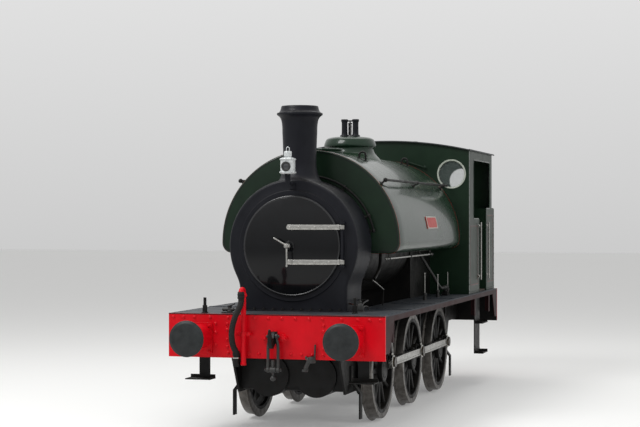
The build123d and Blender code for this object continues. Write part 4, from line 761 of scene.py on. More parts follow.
@dataclass
class SaddleTank:
    """Saddle tank over the boiler, with its lining, rails, loops, pipes and blank plate."""

    front: float = -2250.0
    back: float = 1544.6
    low: float = 1976.0
    corner: float = 115.0
    channel: float = 641.0
    edge: float = 16.0
    rail: tuple[float, float] = (892.0, 2834.0)
    rail_ends: tuple[float, float] = (-2160.0, 1500.0)
    rail_posts: tuple[float, ...] = (-2140.0, -440.0, 1240.0)
    pipe: tuple[float, float] = (900.0, 1913.0)
    pipe_ends: tuple[float, float] = (-2140.0, 440.0)
    pipe_posts: tuple[float, ...] = (-2000.0, -850.0, 300.0)
    loop_x: float = 425.0
    loop_places: tuple[float, ...] = (-1400.0, 900.0)
    plate_y: float = -355.0
    plate_angle: float = 12.0
    plate_half: tuple[float, float] = (300.0, 78.0)

    def outline(self, inset: float = 0.0) -> np.ndarray:
        """Section seen from the front: flat bottom, corner arc, side and crown arc, then mirrored.

        Args:
            inset: How far inside the tank's skin the outline runs.

        Returns:
            Rows of X and Z.
        """
        r = PLAN.tank_radius - inset
        c = max(self.corner - inset, 10.0)
        low = self.low + inset
        right = np.concatenate([
            [[self.channel, low], [(self.channel + r - c) / 2, low]],
            arc((r - c, low + c), c, -90, 0, 9),
            arc((0, PLAN.tank), r, 0, 90, 61),
        ])
        return np.concatenate([right, right[-2::-1] * [-1, 1]])

    def channel_line(self, count: int) -> np.ndarray:
        """The channel over the boiler, from the right foot over the top to the left foot.

        Args:
            count: How many points it gets.

        Returns:
            Rows of X and Z.
        """
        foot = np.array([[self.channel, self.low + self.edge]])
        line = np.concatenate([foot, arc((0, PLAN.boiler), self.channel, 0, 180, 49), foot * [-1, 1]])
        return resample(line, count)

    def shell(self) -> None:
        """Tank skin: the outline carried along Y, its front end rolled over a quarter circle."""
        work = Meshwork()
        turn = np.radians([90, 60, 30, 0])
        stations = [(self.front + self.edge * (1 - math.sin(t)), self.edge * (1 - math.cos(t))) for t in turn]
        stations += [(y, 0.0) for y in np.linspace(self.front, self.back, 14)[1:]]
        rows = [at_y(self.outline(inset), y) for y, inset in stations]
        work.grid(np.stack(rows), wrap=False)
        inner = [at_y(self.channel_line(len(rows[0])), y) for y in (self.front, self.back)]
        work.grid(np.stack([rows[0], inner[0]]), wrap=False, mark=1)
        work.grid(np.stack([rows[-1], inner[1]]), wrap=False, mark=1)
        work.grid(np.stack(inner), wrap=False)
        work.piece("tank_skin", (GREEN, GREEN_FLAT), "gloss_green", replaces=("saddle_tank",))

    def lining(self) -> None:
        """Black and red lines round the front plate and at both ends of the skin, as pairs of Y and inset."""
        work = Meshwork()
        front, back, sunk, proud = self.front + self.edge, self.back, self.front + 0.2, self.front - 0.8
        outer, inner = self.edge + 1, self.edge + 11
        lines = [(((sunk, outer), (proud, outer), (proud, inner), (sunk, inner)), 0)]
        for low, high, mark in ((front - 6, front + 3, 1), (back - 150, back - 118, 0), (back - 160, back - 152, 1)):
            lines.append((((low, 0.2), (low, -0.9), (high, -0.9), (high, 0.2)), mark))
        for line, mark in lines:
            work.grid(np.stack([at_y(self.outline(inset), y) for y, inset in line]), wrap=False, mark=mark)
        work.piece("tank_lining", (LINING_BLACK, LINING_RED), "gloss_black")

    def rails(self) -> None:
        """Round handrails along the tank, each through ball-headed posts on small flanges."""
        work = Meshwork()
        x, z = self.rail
        start, stop = self.rail_ends
        height = math.hypot(x, z - PLAN.tank) - PLAN.tank_radius
        angle = math.degrees(math.atan2(z - PLAN.tank, x))
        post = [
            (0, 0), (34, 0), (34, 8), (30, 10), (15, 13), (12, 24), (13, height - 22), (24, height - 14),
            (28, height), (24, height + 14), (13, height + 23), (0, height + 26),
        ]
        for s, turn in ((1, angle), (-1, 180 - angle)):
            work.rod((s * x, start, z), (s * x, stop, z), 15)
            for y in self.rail_posts:
                work.turned(post, on_drum(turn, y, PLAN.tank_radius - 2, PLAN.tank), on_drum(turn, 0, 1, 0), 20)
        work.piece("tank_rails", CHASSIS_BLACK_AND_SHADE, "gloss_black", replaces=("tank_handrails",))

    def pipes(self) -> None:
        """Thin bright pipes hung under the tank, with their hangers and unions."""
        work = Meshwork()
        z = self.pipe[1]
        start, stop = self.pipe_ends
        for x in (self.pipe[0], -self.pipe[0]):
            work.rod((x, start, z), (x, stop, z), 14)
            for y in self.pipe_posts:
                work.rod((x, y, z - 16), (x, y, self.low + 4), 9, mark=1)
                work.nut((x, y, z), Y, 22, 14, mark=1, low=-14)
            for y in (start + 18, stop - 18):
                work.turned([(0, -16), (21, -16), (23, 0), (21, 16), (0, 16)], (x, y, z), Y, 8, 1)
        work.piece("tank_drain_pipes", (STEEL, GREASED), "bright_steel", replaces=("tank_pipes",))

    def loops(self) -> None:
        """Lifting loops: half rings of round bar welded to pads that follow the tank."""
        work = Meshwork()
        line = np.concatenate([[[40, -14]], arc((0, 54), 40, 0, 180, 17), [[-40, -14]]])
        for y in self.loop_places:
            for x in (-self.loop_x, self.loop_x):
                angle = math.degrees(math.acos(x / PLAN.tank_radius))
                out, foot = on_drum(angle, 0, 1, 0), on_drum(angle, y, PLAN.tank_radius, PLAN.tank)
                work.tube(foot + at_y(line, 0), 12, Y, 12)
                work.prism(soft_corners(66, 40, 14), foot - 3 * out, np.cross(Y, out), Y, 9)
        work.piece("lifting_loops", CHASSIS_BLACK_AND_SHADE, "gloss_black", bevel=1.5)

    def plate(self) -> None:
        """Blank cast plate on each side, with a pale raised rim and four screws."""
        work = Meshwork()
        x, y = self.plate_half
        for s, angle in ((1, self.plate_angle), (-1, 180 - self.plate_angle)):
            out = on_drum(angle, 0, 1, 0)
            up = np.array([-s * abs(out[2]), 0, abs(out[0])])
            along = np.cross(up, out)
            foot = on_drum(angle, self.plate_y, PLAN.tank_radius - 3, PLAN.tank)
            work.prism(soft_corners(x, y, 26), foot, along, up, 11)
            ring = []
            for inset, radius, rise in ((0, 26, 11), (2, 24, 14), (11, 18, 14), (13, 16, 11)):
                edge = soft_corners(x - inset, y - inset, radius)
                ring.append(foot + rise * out + edge[:, :1] * along + edge[:, 1:] * up)
            work.grid(np.stack(ring), mark=1)
            spots = np.array([(i * (x - 28), j * (y - 26)) for i in (-1, 1) for j in (-1, 1)])
            work.rivets(foot + 11 * out + spots[:, :1] * along + spots[:, 1:] * up, out, 8, mark=1)
        work.piece("blank_tank_plates", (PLATE_RED, RIM_WHITE), "signal_red")

    def build(self) -> None:
        """Build every piece of the tank."""
        self.shell()
        self.lining()
        self.rails()
        self.pipes()
        self.loops()
        self.plate()


@dataclass
class Filler:
    """Water filler on the tank's top: collar, hinge and lid."""

    y: float = -1528.0
    radius: float = 190.0
    bore: float = 165.0
    top: float = 3210.0
    lid_radius: float = 205.0
    lid_thickness: float = 22.0
    hinge_y: float = -1296.0
    hinge_z: float = 3226.0

    def build(self) -> None:
        """Turn the collar and lid and add the hinge."""
        collar, lid = Meshwork(), Meshwork()
        r, top, y, z = self.radius, self.top, self.hinge_y, self.hinge_z
        profile = [
            (self.bore, 3130), (self.bore, top), (r - 5, top), (r, top - 5), (r, 3206), (r + 6, 3196), (r + 24, 3192),
            (r + 24, 3150), (self.bore, 3130),
        ]
        collar.turned(profile, (0, self.y, 0), Z, 72)
        for x in (-90, 90):
            collar.prism(soft_corners(22, 44, 10), (x - 12, y - 2, z - 22), Y, Z, 24)
        collar.rod((-102, y, z), (102, y, z), 9)
        collar.piece("filler_ring", GREEN, "gloss_green", replaces=("filler_collar",), bevel=1.5)
        r, t, low = self.lid_radius, self.lid_thickness, top + 0.3
        profile = [(0, 0), (r - 4, 0), (r, 4), (r, t - 8), (r - 3, t - 3), (r - 12, t - 1), (60, t), (0, t)]
        lid.turned(profile, (0, self.y, low), Z, 72)
        lid.slab((-60, self.y + r - 22, low + 4), (60, y, low + t - 2))
        lid.rod((-60, y, z), (60, y, z), 19)
        lid.piece("filler_cover", GREEN, "gloss_green", body="filler_lid", replaces=("filler_lid",), bevel=1.5)


@dataclass
class Dome:
    """Steam dome with a rounded overhanging cap, and the safety valves on it."""

    y: float = -381.0
    cap: tuple[tuple[float, float], ...] = (
        (0, 3430), (120, 3429.5), (208, 3426), (268, 3415), (308, 3394), (330, 3368), (335, 3345), (330, 3322),
        (316, 3302), (303, 3288), (300, 3276),
    )
    skirt: tuple[tuple[float, float], ...] = (
        (300, 3276), (302, 3262), (308, 3246), (318, 3228), (334, 3212), (356, 3201), (384, 3194), (408, 3191),
        (414, 3186),
    )
    valve_x: float = 73.0
    valve_foot: float = 3428.0
    valve_height: float = 230.0

    def build(self) -> None:
        """Turn the dome, settle its skirt on the tank and add the valves."""
        work, valves = Meshwork(), Meshwork()
        y, foot, h = self.y, self.valve_foot, self.valve_height
        profile = np.concatenate([curve_through(self.cap, 60), curve_through(self.skirt, 30)[1:]])
        profile[0, 0] = 0
        grid = seated(lathe(profile, (0, y, 0), Z, 128), y, PLAN.tank_radius + 0.5, PLAN.tank, 303, 414, 1.4)
        work.grid(np.concatenate([grid, grid[-1:] - 30 * Z]))
        work.piece("dome_cover", GREEN, "gloss_green", replaces=("dome",))
        profile = [
            (0, 0), (58, 0), (58, 18), (54, 24), (44, 27), (40, 36), (38, 60), (37, 150), (38, h - 34), (44, h - 30),
            (45, h - 6), (41, h), (27, h), (26, h - 22), (0, h - 22),
        ]
        for x in (-self.valve_x, self.valve_x):
            valves.turned(profile, (x, y, foot), Z, 40)
            valves.rivets(row(*arc((x, y), 50, 30, 330, 6).T, foot + 21), Z, 7, 8, 6)
        valves.slab((-self.valve_x - 16, y - 9, 3628), (self.valve_x + 16, y + 9, 3646))
        valves.tube(coil((0, y, 3450), 22, 150, 16), 5, Z, 8)
        valves.rod((0, y, foot), (0, y, 3640), 9)
        valves.nut((0, y, 3602), Z, 28, 8, 24)
        valves.piece("safety_valve_pair", SMOKEBOX, "gloss_black", replaces=("safety_valves",), bevel=1.0)


@dataclass
class Smokebox:
    """Smokebox wrapper, front plate, raised door ring, its inside and the hinge post."""

    front: float = PLAN.smokebox_front
    back: float = PLAN.smokebox_back
    radius: float = PLAN.smokebox_radius
    base_half: float = 635.0
    leave: float = -25.0
    foot: float = 1560.0
    ease: float = 80.0
    roll: float = 34.0
    ring: float = 630.0
    ring_depth: float = 12.0
    opening: float = 555.0
    wall: float = 16.0
    floor: float = 90.0
    hoop_radius: float = 806.0

    def outline(self, inset: float = 0.0) -> np.ndarray:
        """Section: upright sides to the deck, eased into a circle about the boiler's axis, open below.

        Args:
            inset: How far inside the skin.

        Returns:
            X and Z of its points.
        """
        r, half = self.radius - inset, self.base_half - inset
        turn = math.radians(self.leave)
        start = np.array([r * math.cos(turn), PLAN.boiler + r * math.sin(turn)])
        before = start + self.ease * np.array([math.sin(turn), -math.cos(turn)])
        low, high = np.array([half, self.foot]), np.array([half, self.foot + self.ease])
        t = np.linspace(0, 1, 13)[:-1, None]
        waist = (1 - t) ** 3 * low + 3 * t * (1 - t) ** 2 * high + 3 * t**2 * (1 - t) * before + t**3 * start
        foot = [[half, PLAN.deck + rise] for rise in (0, 75, 150)]
        right = np.concatenate([foot, waist, arc((0, PLAN.boiler), r, self.leave, 90, 61)])
        return np.concatenate([right, right[-2::-1] * [-1, 1]])

    def shell(self) -> None:
        """Wrapper carried along Y with a rolled front edge, and the plate between it and the ring."""
        work = Meshwork()
        front, back, ring, mouth, deck = self.front, self.back, self.ring, self.opening, PLAN.deck
        rows = []
        for t in np.radians([90, 72, 54, 36, 18, 0]):
            rows.append(at_y(self.outline(self.roll * (1 - math.cos(t))), front + self.roll * (1 - math.sin(t))))
        rows += [at_y(self.outline(), y) for y in np.linspace(front, back, 7)[1:]]
        rows += [at_y(self.outline(self.wall), y) for y in (back, front + self.wall)]
        work.grid(np.stack(rows), wrap=False)
        edge, inner = rows[0], at_y(self.outline(self.roll + 4), front)
        rim = np.concatenate([edge, np.linspace(edge[-1], edge[0], 25)[1:-1]])
        inside = np.concatenate([inner, np.linspace(inner[-1], inner[0], 25)[1:-1] + 4 * Z])
        turned = np.degrees(np.arctan2(rim[:, 2] - PLAN.boiler, rim[:, 0]))
        face, within = front - self.ring_depth, front + self.wall
        circles = (
            (ring + 8, front), (ring + 2, front - 2), (ring, front - 5), (ring - 1, face + 3), (ring - 5, face),
            (mouth + 3, face), (mouth, face + 3), (mouth, within), (self.radius - self.wall - 4, within),
        )
        plate = [rim, inside] + [on_drum(turned, y, radius, PLAN.boiler) for radius, y in circles]
        plate[-1][:, 2] = np.maximum(plate[-1][:, 2], deck + self.floor)
        work.grid(np.stack(plate))
        half = self.base_half - 20
        work.slab((-half, front + 20, deck), (half, back - 20, deck + self.floor), 1)
        work.prism(self.outline(self.wall + 1), (0, back - 2, 0), X, Z, 12, 1)
        work.rod((0, PLAN.chimney, deck + 60), (0, PLAN.chimney, PLAN.boiler), 80, 32, 1)
        nodes = ("smokebox_wrapper", "smokebox_front_plate", "smokebox_base")
        work.piece("smokebox_shell", (SMOKEBOX, CHASSIS_BLACK_AND_SHADE), "smokebox_black", replaces=nodes)

    def fastenings(self) -> None:
        """Base angle with its row of bolts, the rear angle ring, and rivets round the wrapper."""
        work = Meshwork()
        front, back, half, deck = self.front, self.back, self.base_half, PLAN.deck
        for s in (-1, 1):
            work.slab((s * half, front + 6, deck), (s * (half + 62), back, deck + 12))
            work.rivets(row(s * (half + 34), np.linspace(front + 50, back - 40, 7), deck + 12), Z, 13, 11, 8)
        work.slab((-half, front - 44, deck), (half, front + 4, deck + 11))
        # The base bolts take the darker chassis black instead of the smokebox paint, as painted shade round their heads
        bolt = [(0, 0), (17, 0), (17, 15), (14, 18), (9, 18), (9, 27), (0, 28)]
        for x in np.linspace(-560, 560, 11):
            work.turned(bolt, (x, front - 25, deck + 11), Z, 6, 1)
        angles = np.linspace(-28, 208, 54)
        for y in (back - 30, front + 60):
            work.rivets(on_drum(angles, y, self.radius, PLAN.boiler), on_drum(angles, 0, 1, 0), 8, 4, 8)
        work.piece("smokebox_fastenings", (SMOKEBOX, CHASSIS_BLACK_AND_SHADE), "smokebox_black")

    def hoop(self) -> None:
        """Dark handrail bent over the smokebox's rear, through ball-headed posts."""
        work = Meshwork()
        y, h = self.back - 14, self.hoop_radius - self.radius
        work.tube(on_drum(np.linspace(12, 168, 79), y, self.hoop_radius, PLAN.boiler), 14, Y, 14)
        post = [
            (0, -2), (26, -2), (26, 5), (22, 8), (11, 11), (10, h - 20), (20, h - 14), (25, h), (20, h + 14),
            (9, h + 23), (0, h + 25),
        ]
        for angle in (12, 25, 57, 90, 123, 155, 168):
            work.turned(post, on_drum(angle, y, self.radius, PLAN.boiler), on_drum(angle, 0, 1, 0), 16)
        work.piece("smokebox_rail", CHASSIS_BLACK_AND_SHADE, "gloss_black", replaces=("smokebox_handrail",))

    def hinge(self) -> None:
        """Hinge post: a dark upright pin between two lugs on the ring."""
        work = Meshwork()
        x, y = PLAN.door_hinge
        high, low = PLAN.straps[0] + 34, PLAN.straps[1] - 59
        wall = self.front - y + 0.5
        lug = np.concatenate([arc((0, 0), 30, 180, 360, 15), [[30, wall], [-30, wall]]])
        for z in (low, high):
            work.prism(lug, (x, y, z), X, Y, 25)
        work.rod((x, y, low - 14), (x, y, high + 38), 16, 24)
        for z in (low - 14, high + 25):
            work.nut((x, y, z), Z, 24, 14)
        work.piece("door_hinge_post", SMOKEBOX, "smokebox_black", bevel=1.5)

    def build(self) -> None:
        """Build every piece of the smokebox."""
        self.shell()
        self.fastenings()
        self.hoop()
        self.hinge()


@dataclass
class SmokeboxDoor:
    """Dished door with a black bead, two steel straps and two dart handles."""

    back: float = -2950.3
    radius: float = 572.0
    dish: float = 84.0
    rim: float = 24.0
    skin: float = 12.0
    tip: float = -38.0
    strap_half: float = 29.0
    strap_thickness: float = 14.0

    def face(self, r: np.ndarray | float) -> np.ndarray | float:
        """Y of the dished face at radius r: a ball of radius (R^2 + d^2) / 2d."""
        ball = (self.radius**2 + self.dish**2) / (2 * self.dish)
        return self.back - self.rim - self.dish + ball - np.sqrt(ball**2 - np.square(r))

    def door(self) -> None:
        """Turn the dished plate, its rounded rim and the bead inside the rim."""
        work = Meshwork()
        radius, back, centre = self.radius, self.back, (0, 0, PLAN.boiler)
        edge = self.face(radius)
        r = np.linspace(0, radius - 12, 40)
        outer = np.column_stack([r, self.face(r)])
        rim = [(radius, edge + 9), (radius, back - 3), (radius - 3, back), (radius - self.rim, back)]
        r = np.linspace(radius - self.rim, 0, 24)
        inner = np.column_stack([r, self.face(r) + self.skin])
        work.turned(np.concatenate([outer, rim, inner]), centre, Y, 128)
        work.turned(arc((radius - 13.5, edge + 4), 13, 0, 360, 17)[:-1], centre, Y, 128, 1, loop=True)
        finishes = (DOOR_BLACK, DOOR_BEAD)
        work.piece("door_plate", finishes, "gloss_black", body="smokebox_door", replaces=("smokebox_door",))

    def straps(self) -> None:
        """Bright straps: a rounded section carried along x over the dish, narrowing to a round tip."""
        work = Meshwork()
        hinge_x, hinge_y = PLAN.door_hinge
        tip, t, e = np.radians([2, 30, 55, 75, 90]), self.strap_thickness, 4.0
        for z in PLAN.straps:
            rise = z - PLAN.boiler
            reach = math.sqrt(self.radius**2 - rise**2)
            start = self.tip + self.strap_half * (1 - np.cos(tip))
            x = np.concatenate([start, np.linspace(0, reach - 6, 24), [reach + 10, hinge_x - 12, hinge_x]])
            y = self.face(np.minimum(np.hypot(x, rise), self.radius))
            y[-3:] = y[-4]
            half = np.full(len(x), self.strap_half)
            half[:5] *= np.sin(tip)
            section = (
                (e - half, 0), (half - e, 0), (half - e * 0.3, e * 0.3), (half, e), (half, t + 3), (-half, t + 3),
                (-half, e), (e * 0.3 - half, e * 0.3),
            )
            work.grid(np.stack([row(x, y - t + d, z + w) for w, d in section], axis=1), caps=True)
            work.rod((hinge_x, hinge_y, z - 29), (hinge_x, hinge_y, z + 29), 30, 32)
            work.slab((hinge_x - 29, hinge_y, z - 28), (hinge_x + 2, y[-1] + 2, z + 28))
            spots = np.array([self.tip + 40, 110, 290, 450])
            work.rivets(row(spots, self.face(np.hypot(spots, rise)) - t, z), -Y, 12, 4, 12)
        work.piece("door_strap_pair", STEEL, "bright_steel", body="smokebox_door", replaces=("door_straps",), bevel=0.8)

    def darts(self) -> None:
        """Dart boss and two tapered handles with rounded ends, one down and one up to the left."""
        work = Meshwork()
        face, z = float(self.face(0)), PLAN.boiler
        work.turned([(0, 0), (62, 4), (60, -6), (46, -16), (40, -32), (0, -34)], (0, face, z), Y, 40, 1)
        work.rod((0, face - 20, z), (0, face - 152, z), 18, 24)
        for reach, angle, h in ((110, -90, 228), (70, 151, 184)):
            y = face - reach
            work.rod((0, y - 17, z), (0, y + 17, z), 30, 24)
            handle = [(0, 20), (13, 20), (10.5, 60), (9.5, h - 22), (11, h - 14), (12, h - 6), (9, h + 4), (0, h + 8)]
            work.turned(handle, (0, y, z), on_drum(angle, 0, 1, 0), 20)
        finishes = (STEEL, DOOR_BLACK)
        work.piece("dart_handles", finishes, "bright_steel", body="smokebox_door", replaces=("door_handles",))

    def build(self) -> None:
        """Build every piece of the door."""
        self.door()
        self.straps()
        self.darts()


@dataclass
class Chimney:
    """Tapered chimney with a flared cap and a skirt settled on the smokebox."""

    y: float = PLAN.chimney
    bore: float = 160.0
    skirt: tuple[tuple[float, float], ...] = (
        (266, 2836), (254, 2845), (237, 2859), (219, 2885), (205, 2922), (195, 2962), (190, 3005),
    )
    stack: tuple[tuple[float, float], ...] = (
        (190, 3005), (190, 3080), (194, 3200), (200, 3350), (207, 3480), (214, 3515), (229, 3545), (250, 3564),
        (262, 3572),
    )

    def build(self) -> None:
        """Turn the stack, its bore and the skirt."""
        work = Meshwork()
        skirt, stack = curve_through(self.skirt, 24)[:-1], curve_through(self.stack, 48)
        cap = [
            (264, 3576), (264, 3589), (261, 3594), (243, 3599), (226, 3618), (218, 3645), (213, 3668), (208, 3674),
            (176, 3674), (166, 3671), (self.bore, 3660), (self.bore, 2780),
        ]
        grid = lathe(np.concatenate([skirt, stack, cap]), (0, self.y, 0), Z, 96)
        low = slice(len(skirt))
        grid[low] = seated(grid[low], self.y, PLAN.smokebox_radius + 0.5, PLAN.boiler, 194, 266, 1.3)
        work.grid(np.concatenate([grid[:1] - 22 * Z, grid]))
        x, y = arc((0, self.y), 250, 22.5, 337.5, 8).T
        work.rivets(row(x, y, PLAN.boiler + np.sqrt(PLAN.smokebox_radius**2 - x**2) + 5), Z, 12, 9, 8)
        work.piece("chimney_stack", SMOKEBOX, "smokebox_black", replaces=("chimney",))


@dataclass
class Lamp:
    """Head lamp in white enamel on an iron bracket before the chimney."""

    y: float = -3120.0
    low: float = 2882.0
    high: float = 3068.0
    half: float = 78.5
    arm: float = 2773.0

    def build(self) -> None:
        """Build the body, lens, vent, handle and bracket."""
        body, iron = Meshwork(), Meshwork()
        y, low, high, wall = self.y, self.low, self.high, PLAN.smokebox_front
        quarter = np.array([(-1, -0.55), (-0.62, -1)]) * self.half
        outline = np.concatenate([quarter, quarter[::-1] * [-1, 1], -quarter, quarter[::-1] * [1, -1]])
        levels = (
            (low, 0.93), (low + 6, 0.98), (low + 14, 1.08), (low + 24, 1.08), (low + 30, 0.95), (high - 30, 0.95),
            (high - 26, 1.07), (high - 18, 1.07), (high - 10, 0.94), (high, 0.66),
        )
        body.grid(np.stack([row(*(outline * k + [0, y]).T, z) for z, k in levels]), caps=True)
        lens, z = (0, y - 70, low + 84), high + 66
        rim = [(34, 4), (52, 4), (54, 0), (54, -16), (50, -20), (41, -20), (38, -14), (34, -14)]
        body.turned(rim, lens, Y, 40, 2)
        body.turned([(0, -16), (20, -15), (39, -9), (39, 0), (0, 0)], lens, Y, 40, 1)
        for s in (-1, 1):
            body.turned([(0, 0), (26, 0), (28, 5), (26, 12), (0, 12)], (s * 68, y, low + 84), s * X, 24)
        vent = [(0, 0), (36, 0), (36, 12), (43, 14), (44, 18), (44, 60), (41, 63), (41, 70), (36, 73), (0, 75)]
        body.turned(vent, (0, y, high - 2), Z, 32)
        line = np.concatenate([[[18, z]], arc((0, z + 33), 18, 0, 180, 13), [[-18, z]]])
        body.tube(at_y(line, y), 4.5, Y, 10)
        body.piece("lamp_body", (LAMP_WHITE, LENS, GREASED), "cream_white", replaces=("head_lamp",), bevel=1.2)
        iron.slab((-30, wall - 12, self.arm - 60), (30, wall, self.arm + 12))
        iron.slab((-30, y - 12, self.arm), (30, wall, self.arm + 12))
        iron.slab((-30, y - 12, self.arm), (30, y, low))
        iron.rivets(row(0, wall - 12, self.arm - 26), -Y, 11)
        iron.piece("lamp_iron", SMOKEBOX, "gloss_black", replaces=("lamp_bracket",), bevel=2.0)


@dataclass
class Beams:
    """Red buffer beams at both ends, edged and riveted."""

    thickness: float = 25.0
    low: float = 849.0
    top_row: tuple[float, ...] = (77.0, 232.0, 386.0, 541.0, 752.0, 935.0, 1066.0, 1182.0)
    bottom_row: tuple[float, ...] = (184.0, 300.0, 423.0, 543.0)
    columns: tuple[tuple[float, float], ...] = (
        (552, 1222), (552, 1158), (552, 1050), (552, 970), (686, 1226), (686, 1128), (686, 990),
    )

    def build(self) -> None:
        """Build both beams, their edge angles and their rivets along the top, the bottom and upright rows."""
        half, low, deck = PLAN.half_width, self.low, PLAN.deck
        spots = [(x, deck - 40) for x in self.top_row] + [(x, low + 53) for x in self.bottom_row]
        spots = np.array(spots + list(self.columns))
        spots = np.concatenate([spots, spots * [-1, 1]])
        for end in End:
            work, rivets = Meshwork(), Meshwork()
            e, name = end.value, end.name.lower()
            face, back = e * PLAN.beam, e * (PLAN.beam - self.thickness)
            work.slab((-half, face, low), (half, back, deck))
            work.slab((-half, back, low), (half, back - e * 0.5, deck - 10), 1)
            work.slab((-half, face, deck - 9), (half, face + e * 3, deck), 1)
            work.piece(f"{name}_beam_plate", (RED, CHASSIS_BLACK_AND_SHADE), "signal_red", bevel=2.5)
            rivets.rivets(at_y(spots, face), e * Y, 19, 15, 12)
            rivets.piece(f"{name}_beam_rivets", RED, "signal_red")
        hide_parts("buffer_beams")


@dataclass
class Buffers:
    """Buffers: bolted base plates, cast housings, plungers and domed heads."""

    x: float = 863.5
    z: float = 1082.0
    plate_half: tuple[float, float] = (142.0, 177.5)
    plate_z: float = 1057.0
    plate_thickness: float = 20.0
    housing: tuple[tuple[float, float], ...] = (
        (0, 0), (140, 0), (138, 22), (134, 34), (129, 70), (122, 130), (116, 190), (112, 226), (113, 231), (118, 234),
        (120, 238), (120, 254), (118, 260), (113, 262), (66, 262), (0, 262),
    )
    head_radius: float = 198.0
    reach: float = 470.0

    def build(self) -> None:
        """Build the housings and the heads of both ends."""
        cast, heads = Meshwork(), Meshwork()
        r, t = self.head_radius, self.reach
        head = [
            (0, 262), (64, 262), (64, 400), (72, 418), (110, 430), (r - 12, 432), (r - 3, 436), (r, 444),
            (r - 1, t - 20), (r - 5, t - 17), (r - 20, t - 13), (r - 24, t - 9), (r * 0.8, t - 6), (r * 0.5, t - 2),
            (r * 0.2, t - 0.4), (0, t),
        ]
        for e in (End.FRONT.value, End.REAR.value):
            out, face = e * Y, e * PLAN.beam
            for x in (-self.x, self.x):
                plate = soft_corners(*self.plate_half, 18)
                cast.prism(plate, (x, face, self.plate_z), -e * X, Z, self.plate_thickness)
                cast.turned(self.housing, (x, face, self.z), out, 72)
                for p, q in ((-110, -142), (-110, 142), (110, -142), (110, 142)):
                    base = (x + p, face + e * self.plate_thickness, self.plate_z + q)
                    cast.turned([(0, 0), (21, 0), (21, 14), (18, 17), (0, 17)], base, out, 6)
                    cast.turned([(0, 17), (11, 17), (11, 30), (0, 31)], base, out, 12)
                heads.turned(head, (x, face, self.z), out, 96)
        cast.piece("buffer_castings", RED, "signal_red", replaces=("buffer_housings",), bevel=1.5)
        heads.piece("buffer_faces", BUFFER, "buffer_steel", replaces=("buffer_heads",), sharp=50)


@dataclass
class DrawGear:
    """Drawhooks on diamond plates, with screw couplings hanging from them."""

    hook_z: float = 1088.0
    throat: float = 148.0
    eye: float = 72.0
    plate_half: tuple[float, float] = (150.0, 70.5)
    plate_z: float = 1083.5
    low: float = 735.0
    link: float = 57.0
    hook: tuple[tuple[float, float], ...] = (
        (10, -66), (52, -76), (88, -98), (122, -116), (156, -114), (186, -90), (205, -52), (214, -8), (218, 34),
        (219, 72), (214, 92), (206, 97), (199, 86), (193, 56), (184, 26), (170, 2), (152, -10), (134, -8), (118, 8),
        (104, 32), (84, 54), (54, 62), (10, 62),
    )

    def hooks(self) -> None:
        """Diamond plate with bolts, and the hook cut as a rounded profile with eased sides."""
        work = Meshwork()
        x, z = self.plate_half
        diamond = np.concatenate([
            arc((x - 26, 0), 26, -60, 60, 7), arc((0, z - 22), 22, 45, 135, 7), arc((26 - x, 0), 26, 120, 240, 7),
            arc((0, 22 - z), 22, 225, 315, 7),
        ])
        smooth, middle, z = curve_through(self.hook, 70), np.array([self.throat, -8.0]), self.hook_z
        for e in (End.FRONT.value, End.REAR.value):
            face = e * PLAN.beam
            work.prism(diamond, (0, face, self.plate_z), -e * X, Z, 30)
            for x in (-112, 112):
                nut = [(0, 30), (26, 30), (26, 48), (22, 52), (0, 52)]
                work.turned(nut, (x, face, self.plate_z), e * Y, 6)
            rows = []
            for x, shrink in ((-23, 6.0), (-19, 1.6), (-13, 0.0), (13, 0.0), (19, 1.6), (23, 6.0)):
                line = smooth + (middle - smooth) * (shrink / 70.0)
                slim = 1 - 0.42 * np.clip(line[:, 1] / 70, 0, 1) * (line[:, 0] > self.throat)
                rows.append(row(x * slim, face + e * line[:, 0], z + line[:, 1]))
            work.grid(np.stack(rows), caps=True, mark=1)
            work.prism(soft_corners(36, 66, 16), (0, face, z - 4), -e * X, Z, 64, 1)
        work.piece("drawhook_pair", (RED, CHASSIS_BLACK_AND_SHADE), "signal_red", replaces=("drawhooks",), bevel=1.2)

    def couplings(self) -> None:
        """Screw coupling: a shackle on a pin through the shank, down to the trunnion nut, the screw and the ball."""
        work = Meshwork()
        half, low, top = self.link, self.low, self.hook_z + 12
        leg = [(38, top), (41, top - 34), (52, top - 78), (half, top - 122), (half, (top + low) / 2), (half, low)]
        for e in (End.FRONT.value, End.REAR.value):
            y = e * (PLAN.beam + self.eye)
            for s in (-1, 1):
                work.bent([(s * x, y, z) for x, z in leg], 40, 17, Y, 14)
                collar = [(0, -17), (26, -17), (29, -12), (29, 12), (26, 17), (0, 17)]
                work.turned(collar, (s * 39, y, top), s * X, 24)
            work.rod((-74, y, top), (74, y, top), 15)
            work.rod((-half - 41, y, low), (half + 41, y, low), 13)
            for s in (-1, 1):
                collar = [(0, -17), (26, -17), (29, -13), (29, 13), (26, 17), (0, 17)]
                work.turned(collar, (s * half, y, low), s * X, 24)
                work.turned([(0, 0), (19, 0), (20, 3), (20, 9), (0, 10)], (s * (half + 27), y, low), s * X, 6)
            work.turned([(0, -36), (27, -36), (33, -28), (33, 28), (27, 36), (0, 36)], (0, y, low), X, 24)
            work.rod((0, y, low), (0, y, low + 104), 20, 20)
            work.tube(coil((0, y, low + 30), 20, 70, 12), 4, Z, 6)
            work.turned([(0, 0), (15, 0), (12, -40), (14, -62), (0, -62)], (0, y, low), Z, 16)
            work.turned(arc((0, 0), 31, -90, 90, 13).round(9), (0, y, low - 92), Z, 24)
        work.piece("coupling_pair", GREASED, "buffer_steel", replaces=("screw_couplings",), bevel=0.8)

    def build(self) -> None:
        """Build the hooks and the couplings."""
        self.hooks()
        self.couplings()


